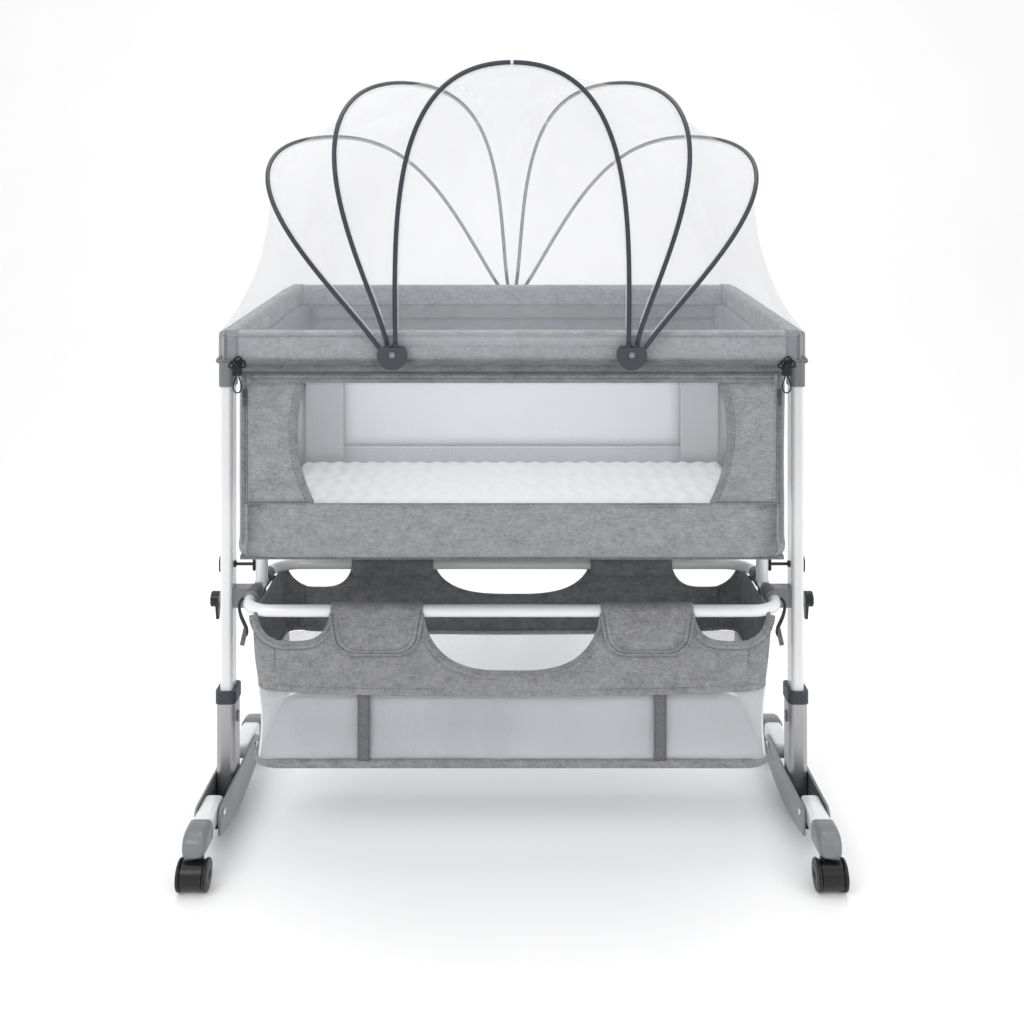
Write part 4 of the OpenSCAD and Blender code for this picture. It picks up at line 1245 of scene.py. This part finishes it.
def rounded_box_loft(name, sections, material):
    """A closed solid lofted through soft rectangles: (y, width, low, high, softness)."""
    rows = []
    for y, width, low, high, power in sections:
        middle = (low + high) / 2
        rows.append([Vector((a, y, middle + b)) for a, b in soft_section(width, high - low, power, 32)])
    faces = grid_faces(len(rows), 32, False, True)
    count = len(rows) * 32
    faces += [tuple(range(32))[::-1], tuple(range(count - 32, count))]
    return mesh_object(name, [p for row in rows for p in row], faces, material)


def shift(piece, x, flip_y=False):
    for vertex in piece.data.vertices:
        vertex.co = Vector((vertex.co.x + x, -vertex.co.y if flip_y else vertex.co.y, vertex.co.z))
    if flip_y:
        piece.data.flip_normals()
    return piece


def bracket_under(y):
    """Height of the channel's lower edge, a long arc."""
    return 0.577 - math.sqrt(0.553 ** 2 - y * y)


def bracket_plate(x, thick, sign):
    """One side of the channel: straight above, a long curve below, rounded ends."""
    outline = []
    for k in range(41):
        y = -0.140 + 0.280 * k / 40
        outline.append((y, bracket_under(y)))
    for cy, start in ((0.126, 0), (-0.126, 90)):
        for k in range(7):
            t = math.radians(start + 90 * k / 6)
            outline.append((cy + 0.014 * math.cos(t), 0.072 + 0.014 * math.sin(t)))
    n = len(outline)
    points, faces = [], []
    for depth in (0, thick):
        points += [Vector((x + sign * depth, y, z)) for y, z in outline]
    faces.append(tuple(range(n)) if sign < 0 else tuple(range(n))[::-1])
    faces.append(tuple(range(n, 2 * n))[::-1] if sign < 0 else tuple(range(n, 2 * n)))
    faces += [(k, (k + 1) % n, n + (k + 1) % n, n + k) for k in range(n)]
    plate = mesh_object("plate", points, faces, BRACKET, False)
    bevel = plate.modifiers.new("edge", "BEVEL")
    bevel.width = 0.0012
    bevel.segments = 2
    bevel.limit_method = "ANGLE"
    apply(plate)
    return plate


# Soft rectangles along an arm and along its end cap: (y, width, low, high, softness)
ARM_SECTIONS = [(-0.090, 0.020, 0.068, 0.080, 2.4), (-0.092, 0.029, 0.060, 0.085, 3.5),
                (-0.096, 0.033, 0.0565, 0.0875, 4.5), (-0.180, 0.034, 0.056, 0.088, 5),
                (-0.214, 0.034, 0.056, 0.088, 5)]
CAP_SECTIONS = [(-0.1762, 0.0375, 0.0545, 0.0895, 5), (-0.177, 0.039, 0.0535, 0.0905, 5),
                (-0.190, 0.039, 0.0535, 0.0905, 5), (-0.204, 0.0392, 0.0530, 0.0900, 4.6),
                (-0.214, 0.0385, 0.0528, 0.0880, 4.2), (-0.2205, 0.0370, 0.0530, 0.0845, 3.8),
                (-0.2255, 0.0345, 0.0535, 0.0800, 3.4), (-0.2285, 0.0300, 0.0550, 0.0745, 3.0),
                (-0.2293, 0.0200, 0.0590, 0.0690, 2.6)]


def make_feet():
    for side, _ in SIDES:
        low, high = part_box(f"foot_{side}")
        x = (low[0] + high[0]) / 2
        parts = [bracket_plate(0.0225, 0.004, -1), bracket_plate(-0.0225, 0.004, 1)]
        rows = []
        for k in range(29):
            y = -0.104 + 0.208 * k / 28
            under = bracket_under(y)
            upper = 0.0098 - (under - 0.024)
            rows.append([Vector((a, y, under + b))
                         for a, b in ((-0.020, 0.001), (0.020, 0.001), (0.020, upper), (-0.020, upper))])
        faces = grid_faces(29, 4, False, True) + [(3, 2, 1, 0), (112, 113, 114, 115)]
        floor = mesh_object("floor", [p for row in rows for p in row], faces, BLACK, False)
        parts.append(floor)
        for flip in (False, True):
            arm = rounded_box_loft("arm", ARM_SECTIONS, WHITE)
            parts.append(shift(arm, 0, flip))
            for out in (-1, 1):
                profile = [(0.0001, 0.0), (0.0060, 0.0), (0.0060, 0.0012), (0.0048, 0.0026), (0.0001, 0.0030)]
                y = -0.118 if not flip else 0.118
                parts.append(lathe("bolt", profile, (out * 0.0225, y, 0.072), (out, 0, 0), CHROME, 24))
        place(shift(join(f"foot_frame_{side}", parts), x), f"base_{side}", "bracket_metal", f"foot_{side}")
        caps = []
        for flip in (False, True):
            shell = rounded_box_loft("cap", CAP_SECTIONS, GREY)
            caps.append(shift(shell, 0, flip))
            for dx in (-0.006, 0.006):
                y = -0.2215 if not flip else 0.2215
                profile = [(0.0001, 0.0), (0.0014, 0.0), (0.0014, 0.0018), (0.0001, 0.0022)]
                caps.append(lathe("peg", profile, (dx, y, 0.0538), (0, 0, -1), WHITE, 12))
        place(shift(join(f"foot_cap_shells_{side}", caps), x), f"base_{side}", "grey_plastic",
              f"foot_caps_{side}")


# A wheel disc's outline from its bore to its tyre and back, as (radius, distance out of its face)
DISC = [(0.0031, -0.0066), (0.0225, -0.0066), (0.0243, -0.0056), (0.0250, -0.0036), (0.0250, -0.0022),
        (0.0240, -0.0008), (0.0205, 0.0), (0.0195, -0.0008), (0.0180, -0.0008), (0.0170, 0.0),
        (0.0080, 0.0), (0.0070, -0.0010), (0.0055, -0.0008), (0.0031, 0.0)]


def make_wheels():
    """Each twin wheel: two tyred discs with a domed outer face, a ring groove and a small boss."""
    for side, _ in SIDES:
        for end, _ in ENDS:
            low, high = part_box(f"wheels_{end}_{side}")
            centre = [(low[i] + high[i]) / 2 for i in range(3)]
            parts = []
            for out in (-1, 1):
                face = high[0] - centre[0]
                middle = (centre[0] + out * face, centre[1], centre[2])
                parts.append(lathe("disc", DISC, middle, (out, 0, 0), BLACK, 56))
            place(join(f"twin_wheel_{end}_{side}", parts), f"wheels_{end}_{side}", "black_plastic",
                  f"wheels_{end}_{side}")


# ---- Floor, backdrop and light ----

def make_stage():
    look = Look("studio_paper", (0.95, 0.95, 0.95), 0.38, Specular_IOR_Level=0.4)
    grain = look.noise(3, 2)
    look.color(look.ramp(grain, (0.3, (0.955, 0.955, 0.955)), (0.7, (0.965, 0.965, 0.965))))
    profile = [(-6, 0), (2.5, 0)]
    for k in range(1, 13):
        t = math.radians(90 * k / 12)
        profile.append((2.5 + 1.6 * math.sin(t), 1.6 * (1 - math.cos(t))))
    profile.append((4.1, 7))
    rows = [[Vector((x, y, z)) for x in (-9, -3, 3, 9)] for y, z in profile]
    grid("studio_floor", rows, look.material)


def area_light(name, location, target, size, power):
    data = bpy.data.lights.new(name, "AREA")
    data.shape = "RECTANGLE"
    data.size, data.size_y = size
    data.energy = power
    light = bpy.data.objects.new(name, data)
    light.location = location
    light.rotation_euler = (Vector(target) - Vector(location)).to_track_quat("-Z", "Y").to_euler()
    bpy.context.scene.collection.objects.link(light)


def make_light():
    world = bpy.data.worlds.new("studio")
    world.use_nodes = True
    background = world.node_tree.nodes["Background"]
    background.inputs[0].default_value = (0.995, 0.995, 1.0, 1)
    background.inputs[1].default_value = 0.85
    bpy.context.scene.world = world
    area_light("key", (-1.8, -2.6, 2.9), (0, 0, 0.6), (2.4, 1.6), 52)
    area_light("fill", (2.4, -2.2, 1.9), (0, 0, 0.7), (2.0, 2.0), 22)
    area_light("top", (0, 0.4, 3.2), (0, 0.2, 0), (3.0, 2.4), 40)
    bpy.context.scene.view_settings.view_transform = "Standard"


make_camera()
elastic_loops()
gathers()
cad_materials()
make_rim()
make_body()
make_panel()
make_zips()
make_rear_mesh()
make_mattress()
make_basket()
make_flaps()
make_end_wraps()
make_tray()
make_hoops()
make_net()
make_feet()
make_wheels()
make_stage()
make_light()
